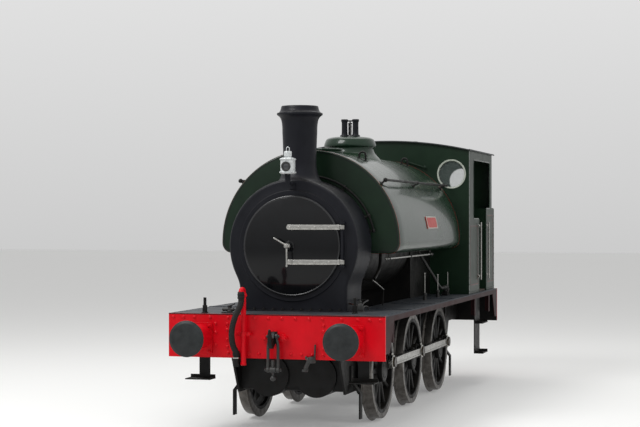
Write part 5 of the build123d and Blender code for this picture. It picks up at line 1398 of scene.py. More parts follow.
@dataclass
class VacuumGear:
    """Vacuum standpipe with clamps, ribbed hose and its plug, at both ends."""

    x: float = -343.0
    off: float = 62.0
    low: float = 802.0
    top: float = 1588.0
    radius: float = 29.0
    clamp: float = 1118.0
    hose: tuple[tuple[float, float, float], ...] = (
        (-343, -3747, 1564), (-343, -3747, 1463), (-405, -3764, 1308), (-447, -3758, 1138), (-443, -3722, 998),
        (-419, -3690, 908), (-419, -3690, 796),
    )
    hose_radius: float = 32.4
    rib: float = 1.6
    rib_pitch: float = 17.0

    def build(self) -> None:
        """Build the pipes and the hoses; the rear ones are the front ones turned half round."""
        pipes, hoses = Meshwork(), Meshwork()
        r, start = self.radius, np.array([self.x, -PLAN.beam - self.off, 0.0])
        bend = start + (self.top - 24) * Z
        reach = (np.array(self.hose[0]) - bend) * [1, 1, 0]
        across, half = unit(reach), np.linalg.norm(reach) / 2
        bow = bend + reach / 2 + half * (arc((0, 0), 1, 180, 0, 17) @ [across, Z])
        path = np.concatenate([np.linspace(start + self.low * Z, bend, 20)[:-1], bow])
        route = curve_through(self.hose, 400)
        ribs = self.hose_radius + self.rib * np.cos(TURN * lengths(route) / self.rib_pitch)
        for e in (End.FRONT.value, End.REAR.value):
            flip = np.array([-e, -e, 1])
            foot, first, last, out = start * flip, route[0] * flip, route[-1] * flip, e * Y
            pipes.tube(path * flip, r, np.cross(across, Z), 28)
            clamp = [(r - 2, -23), (36, -23), (37, -18), (37, 18), (36, 23), (r - 2, 23)]
            pipes.turned(clamp, foot + self.clamp * Z, Z, 32)
            for s in (-1, 1):
                ear, bolt = foot + [s * 56, 0, self.clamp], foot + [s * 66, 0, self.clamp]
                pipes.slab(ear - [26, 7, 22], ear + [26, 7, 22])
                pipes.rod(bolt + 14 * out, bolt - 62 * out, 9, 10)
                pipes.nut(bolt + 7 * out, out, 15, 11)
            union = [(r - 2, 0), (38, 0), (40, 5), (40, 26), (37, 32), (r - 2, 32)]
            pipes.turned(union, foot + (self.top - 60) * Z, Z, 32)
            plug = [(0, -34), (30, -34), (34, -28), (34, -6), (30, 0), (0, 0)]
            pipes.turned(plug, foot + (self.low + 8) * Z, Z, 6)
            hoses.tube(route * flip, ribs, Y + 0.2 * X, 24)
            hoses.turned([(30, -66), (37, -62), (37, 6), (33, 14), (30, 14)], first + 6 * Z, Z, 28)
            for z in (-14, -46):
                hoses.turned([(36, -5), (40, -5), (40, 5), (36, 5)], first + z * Z, Z, 28, 1)
            plug = [(0, -34), (28, -34), (34, -28), (34, 36), (36, 42), (36, 52), (30, 54), (0, 54)]
            hoses.turned(plug, last, Z, 32, 1)
            hoses.turned([(34, 56), (39, 56), (39, 69), (34, 69)], last, Z, 28, 2)
            hoses.turned([(33, 84), (38, 84), (39, 90), (39, 130), (37, 136), (33, 136)], last, Z, 28, 1)
            gap = abs(last[1]) - PLAN.beam
            hoses.slab(last + [-20, 0, -34], last + [20, -e * gap, -4], 1)
            hoses.slab(last + [-20, -e * (gap - 14), -34], last + [20, -e * gap, 110], 1)
        pipes.piece("vacuum_standpipes", RED, "signal_red", replaces=("vacuum_pipes",), bevel=1.0)
        finishes = (RUBBER, CHASSIS_BLACK_AND_SHADE, STEEL)
        hoses.piece("vacuum_hose_pair", finishes, "hose_black", replaces=("vacuum_hoses",), sharp=60)


@dataclass
class Deck:
    """Front deck and running plates: seams, rivets, lamp irons and the lubricator."""

    iron_places: tuple[tuple[float, float], ...] = ((-856.0, -3480.0), (790.0, -3166.0))
    fitting: tuple[float, float] = (-592.0, -3440.0)
    lubricator: tuple[float, float] = (770.0, -2860.0)

    def irons(self) -> None:
        """Lamp irons: flat bars bent up from a foot bolted to the deck."""
        work = Meshwork()
        for place in self.iron_places:
            foot = np.array([*place, PLAN.deck])
            work.slab(foot - [26, 40, 0], foot + [26, 46, 10])
            work.slab(foot - [26, 6, 0], foot + [26, 6, 86])
            work.slab(foot + [-17, -5, 80], foot + [17, 5, 172])
            work.rivets(foot + [(0, -24, 10), (0, 30, 10)], Z, 11, 8, 8)
        work.piece("deck_lamp_irons", CHASSIS_BLACK_AND_SHADE, "gloss_black", bevel=1.5)

    def fittings(self) -> None:
        """Drain cock lever on the deck's right and the oil lubricator with its pipes on its left."""
        work = Meshwork()
        foot = np.array([*self.fitting, PLAN.deck])
        work.slab(foot - [74, 26, 0], foot + [74, 26, 14])
        work.rod(foot + [-70, 0, 40], foot + [66, 0, 40], 20, 20)
        cock = [(0, 0), (30, 0), (30, 16), (24, 22), (20, 60), (26, 66), (26, 74), (0, 76)]
        work.turned(cock, foot + [14, 0, 12], Z, 24)
        work.rod(foot + [14, 0, 78], foot + [78, -10, 106], 7, 12)
        foot = np.array([*self.lubricator, PLAN.deck])
        work.slab(foot - [46, 40, 0], foot + [46, 40, 12])
        cup = [
            (0, 0), (30, 0), (34, 6), (36, 20), (36, 66), (32, 76), (18, 82), (16, 96), (20, 99), (20, 110), (9, 114),
            (8, 126), (0, 127),
        ]
        work.turned(cup, foot + 10 * Z, Z, 32)
        for pipe in (
            [(8, 20, 60), (10, 110, 92), (6, 230, 106), (0, 360, 112), (-20, 420, 112), (-150, 440, 112)],
            [(10, 20, 26), (14, 120, 52), (8, 280, 46), (0, 370, 24), (0, 385, -2)],
        ):
            work.bent(foot + pipe, 40, 9, X + 0.3 * Z, 12)
        work.bent(foot + [(-30, 0, 60), (-90, 20, 84), (-146, 40, 90)], 20, 7, Y, 10, 1)
        work.piece("deck_fittings", (GREASED, COPPER), "gloss_black", bevel=1.0)

    def seams(self) -> None:
        """Rows of snap heads along the deck's edges and butt straps across its joints."""
        work = Meshwork()
        deck = PLAN.deck
        for s in (-1, 1):
            work.rivets(row(s * 1205, np.arange(-3510, 1540, 190.0), deck), Z, 10, 5, 8)
        for y in (-2285.0, -1010.0, 265.0):
            for s in (-1, 1):
                work.slab((s * 690, y, deck), (s * 1236, y + 60, deck + 5))
                for line in (15, 45):
                    work.rivets(row(s * np.linspace(730, 1190, 6), y + line, deck + 5), Z, 9, 4, 8)
        work.piece("deck_seams", DECK, "deck_grey")

    def build(self) -> None:
        """Dress the plates and build the pieces on them."""
        dress(DECK, "front_deck", "running_plates", "cab_floor")
        dress(MAROON, "valances")
        self.irons()
        self.fittings()
        self.seams()


@dataclass
class Valance:
    """Angle along the running plate's edge, with brackets and its rivets."""

    brackets: tuple[float, ...] = (1816.0, 2950.0, -3180.0)

    def build(self) -> None:
        """Build the angle's rounded lip, the brackets and the rivets."""
        work = Meshwork()
        z = PLAN.under_deck
        for s in (-1, 1):
            x = s * (PLAN.half_width - 10)
            work.slab((x, -3570, z - 13), (x - s * 52, 3570, z - 1))
            for y in self.brackets:
                work.slab((x, y - 40, z - 300), (x - s * 12, y + 40, z - 2))
                work.slab((x, y - 6, z - 290), (x - s * 60, y + 6, z - 2))
            spots = row(s * (PLAN.half_width - 0.4), np.arange(-3180, 3200, 160.0), z - 30)
            work.rivets(spots, s * X, 9, 0.6, 8)
        work.piece("valance_angles", MAROON, "maroon", bevel=1.0)


@dataclass
class Wheelset:
    """One axle with its two spoked wheels, tyres, balance weights and crank pins."""

    name: str
    y: float
    cranked: bool = False
    inner: float = 680.0
    outer: float = 815.0
    hub_face: float = 835.0
    tread: float = 571.5
    flange: float = 599.5
    rim: float = 464.5
    hub: float = 140.0
    axle: float = 85.0
    spokes: int = 12
    spoke_root: float = 37.0
    spoke_tip: float = 24.0
    spoke_depth: float = 29.0
    pin: float = 46.0
    pin_boss: float = 92.0
    pin_end: float = 921.0
    balance_chord: float = 325.0
    inside_throw: float = 279.0
    inside_x: float = 280.0

    def spot(self, x: float, radius: float = 0.0, angle: float = 0.0) -> np.ndarray:
        """A point of the wheelset: x along the axle, then radius and angle from +Y towards +Z."""
        a = math.radians(angle)
        return np.array([x, self.y + radius * math.cos(a), PLAN.axle + radius * math.sin(a)])

    def wheel(self, iron: Meshwork, tyre: Meshwork, side: Side) -> None:
        """Tyre, rim, spokes, hub, balance weight and crank pin of one wheel.

        Args:
            iron: Mesh of the painted castings.
            tyre: Mesh of the tyre.
            side: Side of the engine.
        """
        s, angle = side.value, PLAN.pin_angles[side]
        centre, out, i, o = self.spot(0), s * X, self.inner, self.outer
        hub, rim, face, mid = self.hub, self.rim, self.hub_face, (self.inner + self.outer) / 2
        profile = [
            (508, i + 2), (580, i + 1), (590, i + 4), (597, i + 10), (self.flange, i + 16), (597, i + 22),
            (588, i + 27), (577, i + 31), (self.tread, i + 37), (self.tread - 3, o - 8), (self.tread - 7, o), (510, o),
            (507, o - 3), (507, i + 4),
        ]
        tyre.turned(profile, centre, out, 128, loop=True)
        profile = [
            (508, i + 4), (508, o - 4), (504, o - 2), (rim + 6, o - 2), (rim, o - 8), (rim - 2, mid + 30),
            (rim - 2, mid - 30), (rim, i + 10), (rim + 6, i + 4),
        ]
        iron.turned(profile, centre, out, 96, loop=True)
        profile = [
            (0, i - 2), (hub - 10, i - 2), (hub, i + 6), (hub + 4, i + 40), (hub + 4, o - 40), (hub, face - 8),
            (hub - 8, face), (98, face), (96, face - 6), (87, face - 6), (86, face + 1), (0, face + 1),
        ]
        iron.turned(profile, centre, out, 64)
        self.spread(iron, s * mid)
        half = math.degrees(math.acos(self.balance_chord / (rim + 4)))
        weight = arc((0, 0), rim + 4, angle + 180 - half, angle + 180 + half, 25)
        iron.prism(weight, self.spot(s * mid - 36), Y, Z, 72)
        pin, w, r, end = self.spot(0, PLAN.throw, angle), self.pin_boss, self.pin, self.pin_end
        profile = [(0, i + 2), (w - 8, i + 2), (w, i + 10), (w, face - 8), (w - 8, face), (0, face)]
        iron.turned(profile, pin, out, 48)
        profile = [
            (0, face - 6), (r, face - 6), (r, 903), (62, 903), (64, 906), (64, end - 3), (61, end), (20, end),
            (18, end - 4), (0, end - 4),
        ]
        tyre.turned(profile, pin, out, 48)

    def spread(self, iron: Meshwork, x: float) -> None:
        """Spokes of softened oval section, tapering outwards and flared at hub and rim.

        Args:
            iron: Mesh of the painted castings.
            x: The middle of the wheel's width.
        """
        r = np.linspace(self.hub - 8, self.rim + 8, 15)
        t = (r - r[0]) / (r[-1] - r[0])
        flare = 1 + 0.28 * np.exp(-t * 14) + 0.5 * np.exp(-(1 - t) * 16)
        wide = (self.spoke_root + (self.spoke_tip - self.spoke_root) * t) * flare
        deep = self.spoke_depth * (1 + 0.15 * np.exp(-t * 10) + 0.35 * np.exp(-(1 - t) * 12))
        p, q = (np.sign(part) * np.abs(part) ** 0.8 for part in arc((0, 0), 1, 0, 337.5, 16).T)
        wide, deep = np.outer(wide, p)[..., None], np.outer(deep, q)[..., None] * X
        for k in range(self.spokes):
            way = self.spot(0, 1, 360 * k / self.spokes) - self.spot(0)
            iron.grid(self.spot(x) + r[:, None, None] * way + wide * np.cross(X, way) + deep, caps=True)

    def crank(self, tyre: Meshwork) -> None:
        """Axle in three lengths, with webs and pins of the inside cranks half a turn from the coupling pins.

        Args:
            tyre: Mesh of the bright parts.
        """
        near, far, end, throw = self.inside_x - 50, self.inside_x + 50, self.inner + 10, self.inside_throw
        for start, stop in ((-near, near), (-far, -end), (far, end)):
            tyre.rod(self.spot(start), self.spot(stop), self.axle, 48)
        slot = np.concatenate([arc((throw, 0), 133, -90, 90, 21), arc((0, 0), 133, 90, 270, 21)])
        for side in Side:
            s, angle = side.value, PLAN.pin_angles[side] + 180
            way = self.spot(0, 1, angle) - self.spot(0)
            for x in (near - 110, far):
                tyre.prism(slot, self.spot(1 + min(s * x, s * (x + 110))), way, np.cross(X, way), 108)
            tyre.rod(self.spot(s * (near - 55), throw, angle), self.spot(s * (far + 55), throw, angle), 85, 40)

    def build(self) -> None:
        """Build the wheelset's iron and its bright parts."""
        iron, tyre = Meshwork(), Meshwork()
        for side in Side:
            self.wheel(iron, tyre, side)
        if self.cranked:
            self.crank(tyre)
        else:
            tyre.rod(self.spot(-self.inner - 10), self.spot(self.inner + 10), self.axle, 48)
        name, body = self.name, f"{self.name}_wheels"
        iron.piece(f"{name}_wheel_iron", CHASSIS_BLACK_AND_SHADE, "frame_black", body=body, replaces=(f"{name}_wheelset",))
        tyre.piece(f"{name}_tyres", TYRE, "bright_steel", body=body)


@dataclass
class CouplingRod:
    """One side's coupling rod: fluted bars between bushed eyes, with oil cups."""

    side: Side
    inner: float = 841.0
    thickness: float = 56.0
    depth: float = 48.0
    eye: float = 84.0
    bush: float = 47.2

    def build(self) -> None:
        """Build the bars with their flutes, the eyes and the bushes."""
        work = Meshwork()
        s, t, e, b = self.side.value, self.thickness, self.eye, self.bush
        a = math.radians(PLAN.pin_angles[self.side])
        pins, z = np.array(PLAN.axles) + PLAN.throw * math.cos(a), PLAN.axle + PLAN.throw * math.sin(a)
        near, far = s * self.inner, s * (self.inner + t)
        edge = ((-1, 0), (-0.62, 0), (-0.55, 1), (0.55, 1), (0.62, 0), (1, 0))
        for start, stop in zip(pins, pins[1:]):
            y = np.linspace(start + e - 8, stop - e + 8, 25)
            way = (y - y[0]) / (y[-1] - y[0])
            half = self.depth - 6 + 5 * np.sin(math.pi * way)
            flute = s * 9 * np.clip(np.minimum(way, 1 - way) * 9, 0, 1)
            rows = [row(far - w * flute, y, z + k * half) for k, w in edge]
            rows += [row(near + w * flute, y, z + k * half) for k, w in edge[::-1]]
            work.grid(np.stack(rows, axis=1), caps=True)
        eye = [(b, 0), (e - 6, 0), (e, 5), (e, t - 5), (e - 6, t), (66, t), (64, t - 3), (60, t - 3), (58, t), (b, t)]
        cup = [(0, 0), (17, 0), (19, 6), (19, 22), (13, 28), (8, 34), (0, 35)]
        for y in pins:
            work.turned(eye, (near, y, z), s * X, 64, loop=True)
            work.turned([(b, 0.5), (58, 0.5), (58, t + 1), (b, t + 1)], (near, y, z), s * X, 48, 1, loop=True)
            work.turned(cup, (near + s * t / 2, y, z + e - 3), Z, 20)
        body = f"{self.side.name.lower()}_rod"
        nodes = (f"{self.side.name.lower()}_coupling_rod",)
        work.piece(f"{body}_bars", (STEEL, BRASS), "bright_steel", body=body, replaces=nodes, bevel=1.0)


@dataclass
class Springs:
    """Leaf springs under the frames: stacked leaves, buckle and hangers."""

    x: float = 622.5
    width: float = 80.0
    top: float = 389.5
    half: float = 388.0
    camber: float = 33.0
    leaves: int = 8
    leaf: float = 10.5

    def build(self) -> None:
        """Each leaf is a strip that follows z = top - camber * (1 - (y / half)^2), shorter the lower it lies."""
        work = Meshwork()
        w, t, top = self.width / 2, self.leaf - 1.2, self.top
        for s in (-1, 1):
            x = s * self.x
            for axle in PLAN.axles:
                for k in range(self.leaves):
                    y = np.linspace(-1, 1, 19) * (self.half - 38 * k)
                    z = top - 1 - self.camber * (1 - (y / self.half) ** 2) - k * self.leaf
                    section = ((-s * w, 0), (s * w, 0), (s * w, -t), (-s * w, -t))
                    work.grid(np.stack([row(x + p, axle + y, z + q) for p, q in section], axis=1), caps=True)
                work.slab((x - 51, axle - 41, top - 127), (x + 51, axle + 41, top), 1)
                for e in (-1, 1):
                    y = axle + e * (self.half - 14)
                    work.rod((x, y, top - 24), (x, y, 408), 14, 16, 1)
                    work.slab((x - 25, y - 20, top - 30), (x + 25, y + 16, top - 6), 1)
                    work.nut((x, y, top - 44), Z, 22, 16, mark=1)
        work.piece("spring_leaves", (GREASED, CHASSIS_BLACK_AND_SHADE), "frame_black", replaces=("leaf_springs",), bevel=0.8)


@dataclass
class BrakeGear:
    """Brake blocks behind each wheel, hangers, cross beams, pull rods and the brake shaft."""

    block_radius: float = 577.5
    block_depth: float = 62.0
    inner: float = 720.0
    width: float = 84.0
    hanger_x: float = 762.0
    hanger_top: float = 1178.0
    bar_z: float = 360.0
    rod_x: float = 540.0
    shaft_y: float = 2400.0

    def build(self) -> None:
        """Blocks are arc sections carried along X; the rest is bars."""
        work = Meshwork()
        r, d, x, top, z, shaft = (
            self.block_radius, self.block_depth, self.hanger_x, self.hanger_top, self.bar_z, self.shaft_y,
        )
        low, places = PLAN.axle - 60, [axle + r + d + 6 for axle in PLAN.axles]
        for s in (-1, 1):
            for axle, y in zip(PLAN.axles, places):
                hub = (axle, PLAN.axle)
                block = np.concatenate([arc(hub, r + 1, -20, 8, 15), arc(hub, r + d - 6, 6, -18, 15)])
                start = min(s * self.inner, s * (self.inner + self.width))
                work.prism(block, (start, 0, 0), Y, Z, self.width)
                work.slab((s * (x - 12.5), y - 20, z - 40), (s * (x + 12.5), y + 20, top + 40))
                work.rod((s * PLAN.frame_face, y, top), (s * (x + 24), y, top), 22, 20)
                work.rod((s * (x - 30), y, low), (s * (x + 22), y, low), 18)
                work.nut((s * (x + 12), y, z), s * X, 27, 12)
            work.slab((s * (self.rod_x - 12), places[0], z - 16), (s * (self.rod_x + 12), shaft, z + 16))
            work.slab((s * 612, shaft - 50, z), (s * 634, shaft + 50, 409))
        for y in places:
            work.rod((-x - 12, y, z), (x + 12, y, z), 22, 24)
        work.rod((-634, shaft, z), (634, shaft, z), 38, 32)
        work.piece("brake_rigging", CHASSIS_BLACK_AND_SHADE, "frame_black", replaces=("brake_gear",), bevel=1.5)


@dataclass
class Chassis:
    """Frames, cylinders, axleboxes, steps and the steam heat cock."""

    plain: tuple[str, ...] = (
        "left_frame", "right_frame", "frame_stretchers", "axleboxes", "cylinder_block", "ashpan", "front_steps",
        "cab_steps",
    )
    cock: tuple[float, float] = (414.0, -3575.0)

    def rivets(self) -> None:
        """Rivets along the frames' top angle and round the horn guides."""
        work = Meshwork()
        for s in (-1, 1):
            face = s * PLAN.frame_face
            work.rivets(row(face, np.arange(-3500, 3520, 125.0), 1290), s * X, 11, 6, 8)
            for axle in PLAN.axles:
                spots = [(face, axle + side, z) for side in (-152, 152) for z in np.linspace(470, 950, 8)]
                work.rivets(spots, s * X, 10, 6, 8)
        work.piece("frame_rivets", CHASSIS_BLACK_AND_SHADE, "frame_black")

    def heat_cock(self) -> None:
        """Steam heat pipe and cock under the front beam, with its hanging hose end."""
        work = Meshwork()
        foot = np.array([*self.cock, 0.0])
        work.bent(foot + [(-60, 160, 905), (-58, 70, 880), (-45, 6, 858), (-20, -40, 846)], 24, 24, X + 0.1 * Z)
        work.turned([(0, -46), (30, -46), (33, -38), (33, 38), (30, 46), (0, 46)], foot + [0, -40, 846], X, 24)
        cock = [(0, -32), (40, -32), (43, -24), (43, 26), (34, 36), (18, 40), (0, 40)]
        work.turned(cock, foot + [8, -44, 846], Z, 24)
        work.rod(foot + [44, -50, 872], foot + [50, -50, 1016], 10, 12)
        work.turned([(0, 0), (16, 0), (18, 6), (18, 16), (0, 18)], foot + [-46, -44, 872], -X, 16)
        work.bent(foot + [(-22, -42, 838), (-44, -50, 790), (-62, -52, 742)], 20, 23, Y)
        work.turned([(0, 0), (32, 0), (34, 6), (34, 26), (0, 28)], foot + [-64, -52, 720], Z, 20)
        work.slab(foot + [-78, 20, 858], foot + [-36, -22, 900])
        work.piece("steam_heat_cock", GREASED, "frame_black", bevel=1.0)

    def steps(self) -> None:
        """Turned-up lips on the steps and checkered ribs on their treads."""
        work = Meshwork()
        for s in (-1, 1):
            for z in (458, 888):
                work.slab((s * 1120, 2371, z - 1), (s * 1124, 2769, z + 46))
                for y in range(2390, 2780, 57):
                    work.slab((s * 1126, y, z - 1), (s * 1234, y + 10, z + 2.5))
                for y in (2371, 2763):
                    work.slab((s * 1122, y, z - 1), (s * 1238, y + 6, z + 30))
            work.slab((s * 795, -3308, 597), (s * 1088, -3302, 632))
            for x in range(812, 1100, 62):
                work.slab((s * x, -3480, 597), (s * (x + 8), -3310, 600.5))
        work.piece("step_lips", CHASSIS_BLACK_AND_SHADE, "frame_black", bevel=0.8)

    def build(self) -> None:
        """Dress the flat nodes and build the pieces on them."""
        dress(CHASSIS_BLACK_AND_SHADE, *self.plain)
        self.rivets()
        self.heat_cock()
        self.steps()


@dataclass
class Boiler:
    """Boiler under the tank, firebox sides and the backhead fittings in the cab."""

    radius: float = 640.0
    front: float = PLAN.smokebox_back
    throat: float = 299.0
    back: float = 1710.0
    corner: float = 45.0

    def barrel(self) -> None:
        """Barrel with a lagging band every metre or so."""
        work = Meshwork()
        r, z = self.radius, PLAN.boiler
        work.nut((0, 0, z), Y, r, self.throat + 2, 128, low=self.front)
        band = [(r - 1, -28), (r, -28), (r + 0.2, -26), (r + 0.2, 26), (r, 28), (r - 1, 28)]
        for y in (-2240, -1300, -400, 250):
            work.turned(band, (0, y, z), Y, 128)
        work.piece("boiler_lagging", CHASSIS_BLACK_AND_SHADE, "frame_black", replaces=("boiler_barrel",))

    def outline(self, inset: float = 0.0) -> np.ndarray:
        """Firebox section: upright sides to the deck and a half circle over them.

        Args:
            inset: How far inside the wrapper's skin it runs.

        Returns:
            Rows of X and Z.
        """
        r = self.radius - inset
        side = np.array([[r, PLAN.deck], [r, (PLAN.deck + PLAN.boiler) / 2]])
        return np.concatenate([side, arc((0, PLAN.boiler), r, 0, 180, 65), side[::-1] * [-1, 1]])

    def firebox(self) -> None:
        """Firebox wrapper with a rounded backhead, and its lower part between the frames."""
        work = Meshwork()
        front, back, deck, c = self.throat, self.back, PLAN.deck, self.corner
        rows = [at_y(self.outline(), y) for y in (front, 900.0)]
        for t in np.radians([0, 22, 45, 67, 90]):
            rows.append(at_y(self.outline(c * (1 - math.cos(t))), back - c + c * math.sin(t)))
        work.grid(np.stack([np.concatenate([line, line[:1]]) for line in rows]), wrap=False, caps=True)
        deep = [(front, 620), (1180, 620), (1180, 900), (back, 1100), (back, deck), (front, deck)]
        work.prism(np.array(deep), (-600, 0, 0), Y, Z, 1200)
        work.piece("firebox_wrapper", CHASSIS_BLACK_AND_SHADE, "frame_black", replaces=("firebox",))

    def backhead(self) -> None:
        """Firehole door, regulator, gauge glasses, pressure gauges, valves and pipes."""
        work = Meshwork()
        y = self.back
        door = arc((0, 1690), 210, 0, 360, 49)[:-1] * [1, 0.82] + [0, 304]
        work.prism(door, (0, y + 26, 0), -X, Z, 26, 1)
        for s in (-1, 1):
            work.slab((s * 4, y + 22, 1555), (s * 176, y + 42, 1820))
            work.rod((s * 40, y + 44, 1600), (s * 40, y + 44, 1760), 8, 12, 3)
        work.slab((-250, y + 4, 1520), (250, y + 60, 1542))
        work.turned([(0, 0), (80, 0), (80, 18), (52, 26), (44, 60), (0, 64)], (0, y, 2330), Y, 40)
        handle = [(0, 0), (17, 0), (15, 200), (12, 330), (17, 352), (0, 360)]
        work.turned(handle, (0, y + 66, 2330), unit(np.array([0.75, 0.02, -0.66])), 16, 3)
        for x in (-210, 210):
            work.rod((x, y + 52, 1930), (x, y + 52, 2200), 11, 16, 4)
            for z in (1915, 2190):
                work.nut((x, y + 52, z), Z, 24, 26, 12, 2)
                work.rod((x, y, z + 12), (x, y + 56, z + 12), 13, 14, 2)
                cock = [(0, 0), (9, 0), (8, 60), (12, 66), (12, 80), (0, 84)]
                work.turned(cock, (x, y + 56, z + 12), unit(Y - Z), 12, 2)
        for x, z, r in ((-420, 2510, 88), (300, 2520, 70)):
            case = [(0, 0), (r, 0), (r + 6, 6), (r + 6, 40), (r, 48), (r - 8, 48), (r - 9, 40), (0, 40)]
            work.turned(case, (x, y + 14, z), Y, 48, 2)
            work.nut((x, y + 53, z), Y, r - 9, 2, 40, 5)
            pipe = [(x, y + 30, z - r), (x * 0.9, y + 26, z - r - 90), (x * 0.4, y + 20, 2392)]
            work.bent(pipe, 20, 8, X + 0.3 * Y, 10, 3)
        for x in (-520, 520):
            pipe = [(x, y + 40, 2440), (x * 1.06, y + 46, 2200), (x * 1.1, y + 40, 1900), (x * 1.12, y + 24, 1400)]
            work.bent(pipe, 40, 24, X, 16, 3)
            work.turned([(0, 0), (34, 0), (36, 10), (36, 60), (30, 72), (0, 74)], (x, y + 40, 2400), Z, 20, 2)
            work.nut((x, y + 110, 2440), Y, 46, 10, 8)
            work.rod((x, y + 40, 2440), (x, y + 112, 2440), 9, 12, 2)
        pipe = [(-330, y + 30, 2620), (-120, y + 44, 2650), (160, y + 44, 2650), (380, y + 30, 2610)]
        work.bent(pipe, 30, 22, Z, 16, 2)
        self.stands(work)
        finishes = (CHASSIS_BLACK_AND_SHADE, GREASED, BRASS, COPPER, LENS, RIM_WHITE)
        work.piece("backhead_fittings", finishes, "brass", bevel=1.0)

    def stands(self, work: Meshwork) -> None:
        """Reverser with its lever and the brake stand with its handle.

        Args:
            work: Mesh of the backhead's fittings.
        """
        deck = PLAN.deck
        work.slab((-980, 1760, deck), (-900, 2160, deck + 560))
        work.rod((-900, 1960, deck + 500), (-900, 1900, deck + 1150), 15, 16, 3)
        work.rod((-900, 1894, deck + 1130), (-960, 1890, deck + 1190), 12, 14, 3)
        work.rod((930, 1850, deck), (930, 1850, deck + 1020), 24, 20)
        work.rod((800, 1850, deck + 1030), (1060, 1850, deck + 1030), 11, 14, 3)
        work.turned([(0, 0), (34, 0), (36, 10), (30, 50), (0, 54)], (930, 1850, deck + 1000), Z, 20, 2)

    def build(self) -> None:
        """Build every piece of the boiler."""
        self.barrel()
        self.firebox()
        self.backhead()


@dataclass
class SidePipes:
    """Injector, feed and steam pipes, drain pipe and valve rods beside the boiler on each side."""

    x: float = 930.0
    y: float = 1180.0
    valves: tuple[tuple[float, float], ...] = ((-146.0, 1685.0), (679.0, 1642.0), (1353.0, 1651.0))

    def build(self) -> None:
        """Build the injector and its pipes, then the valves and their bright rods."""
        work = Meshwork()
        deck, near = PLAN.deck, self.y
        for s in (-1, 1):
            x = s * self.x
            injector = [
                (0, 0), (26, 0), (30, 10), (30, 70), (22, 90), (22, 160), (30, 180), (30, 250), (24, 262), (0, 264),
            ]
            work.turned(injector, (x, near - 130, deck + 110), Y, 24, 1)
            work.rod((x, near, deck + 50), (x, near, deck + 110), 22)
            work.slab((x - 40, near - 50, deck), (x + 40, near + 50, deck + 52))
            feed = [
                (930, near - 130, deck + 110), (924, near - 250, deck + 112), (840, near - 420, deck + 300),
                (700, near - 520, deck + 560), (633, near - 560, deck + 700),
            ]
            steam = [
                (700, -1600, 1985), (700, -1612, 1880), (700, -1656, 1790), (696, -1765, 1724), (690, -1880, 1666),
            ]
            drain = [(690, -1955, 1652), (694, -1700, 1590), (700, -1461, 1523)]
            mirror = [s, 1, 1]
            work.bent(np.multiply(feed, mirror), 50, 19, X + 0.4 * Z, 16, 1)
            work.bent(np.multiply(steam, mirror), 40, 20, X)
            work.bent(np.multiply(drain, mirror), 20, 10, X, 12, 2)
            work.rod((s * 700, -1461, 1523), (s * 690, -1461, deck), 9, 12)
            work.rod((s * 690, -1930, 1655), (s * 560, -1930, 1665), 16, 12)
            valve = [(0, 0), (30, 0), (30, 12), (20, 16), (20, 60), (25, 66), (25, 92), (12, 98), (0, 98)]
            for y, top in self.valves:
                work.turned(valve, (x, y, deck), Z, 16, 1)
                work.rod((x, y, deck + 90), (x, y, top - 6), 6, 12, 2)
                work.rod((x, y - 42, top - 8), (x, y + 42, top - 8), 7, 12, 2)
        work.piece("side_pipework", (CHASSIS_BLACK_AND_SHADE, GREASED, STEEL), "frame_black", bevel=1.2)


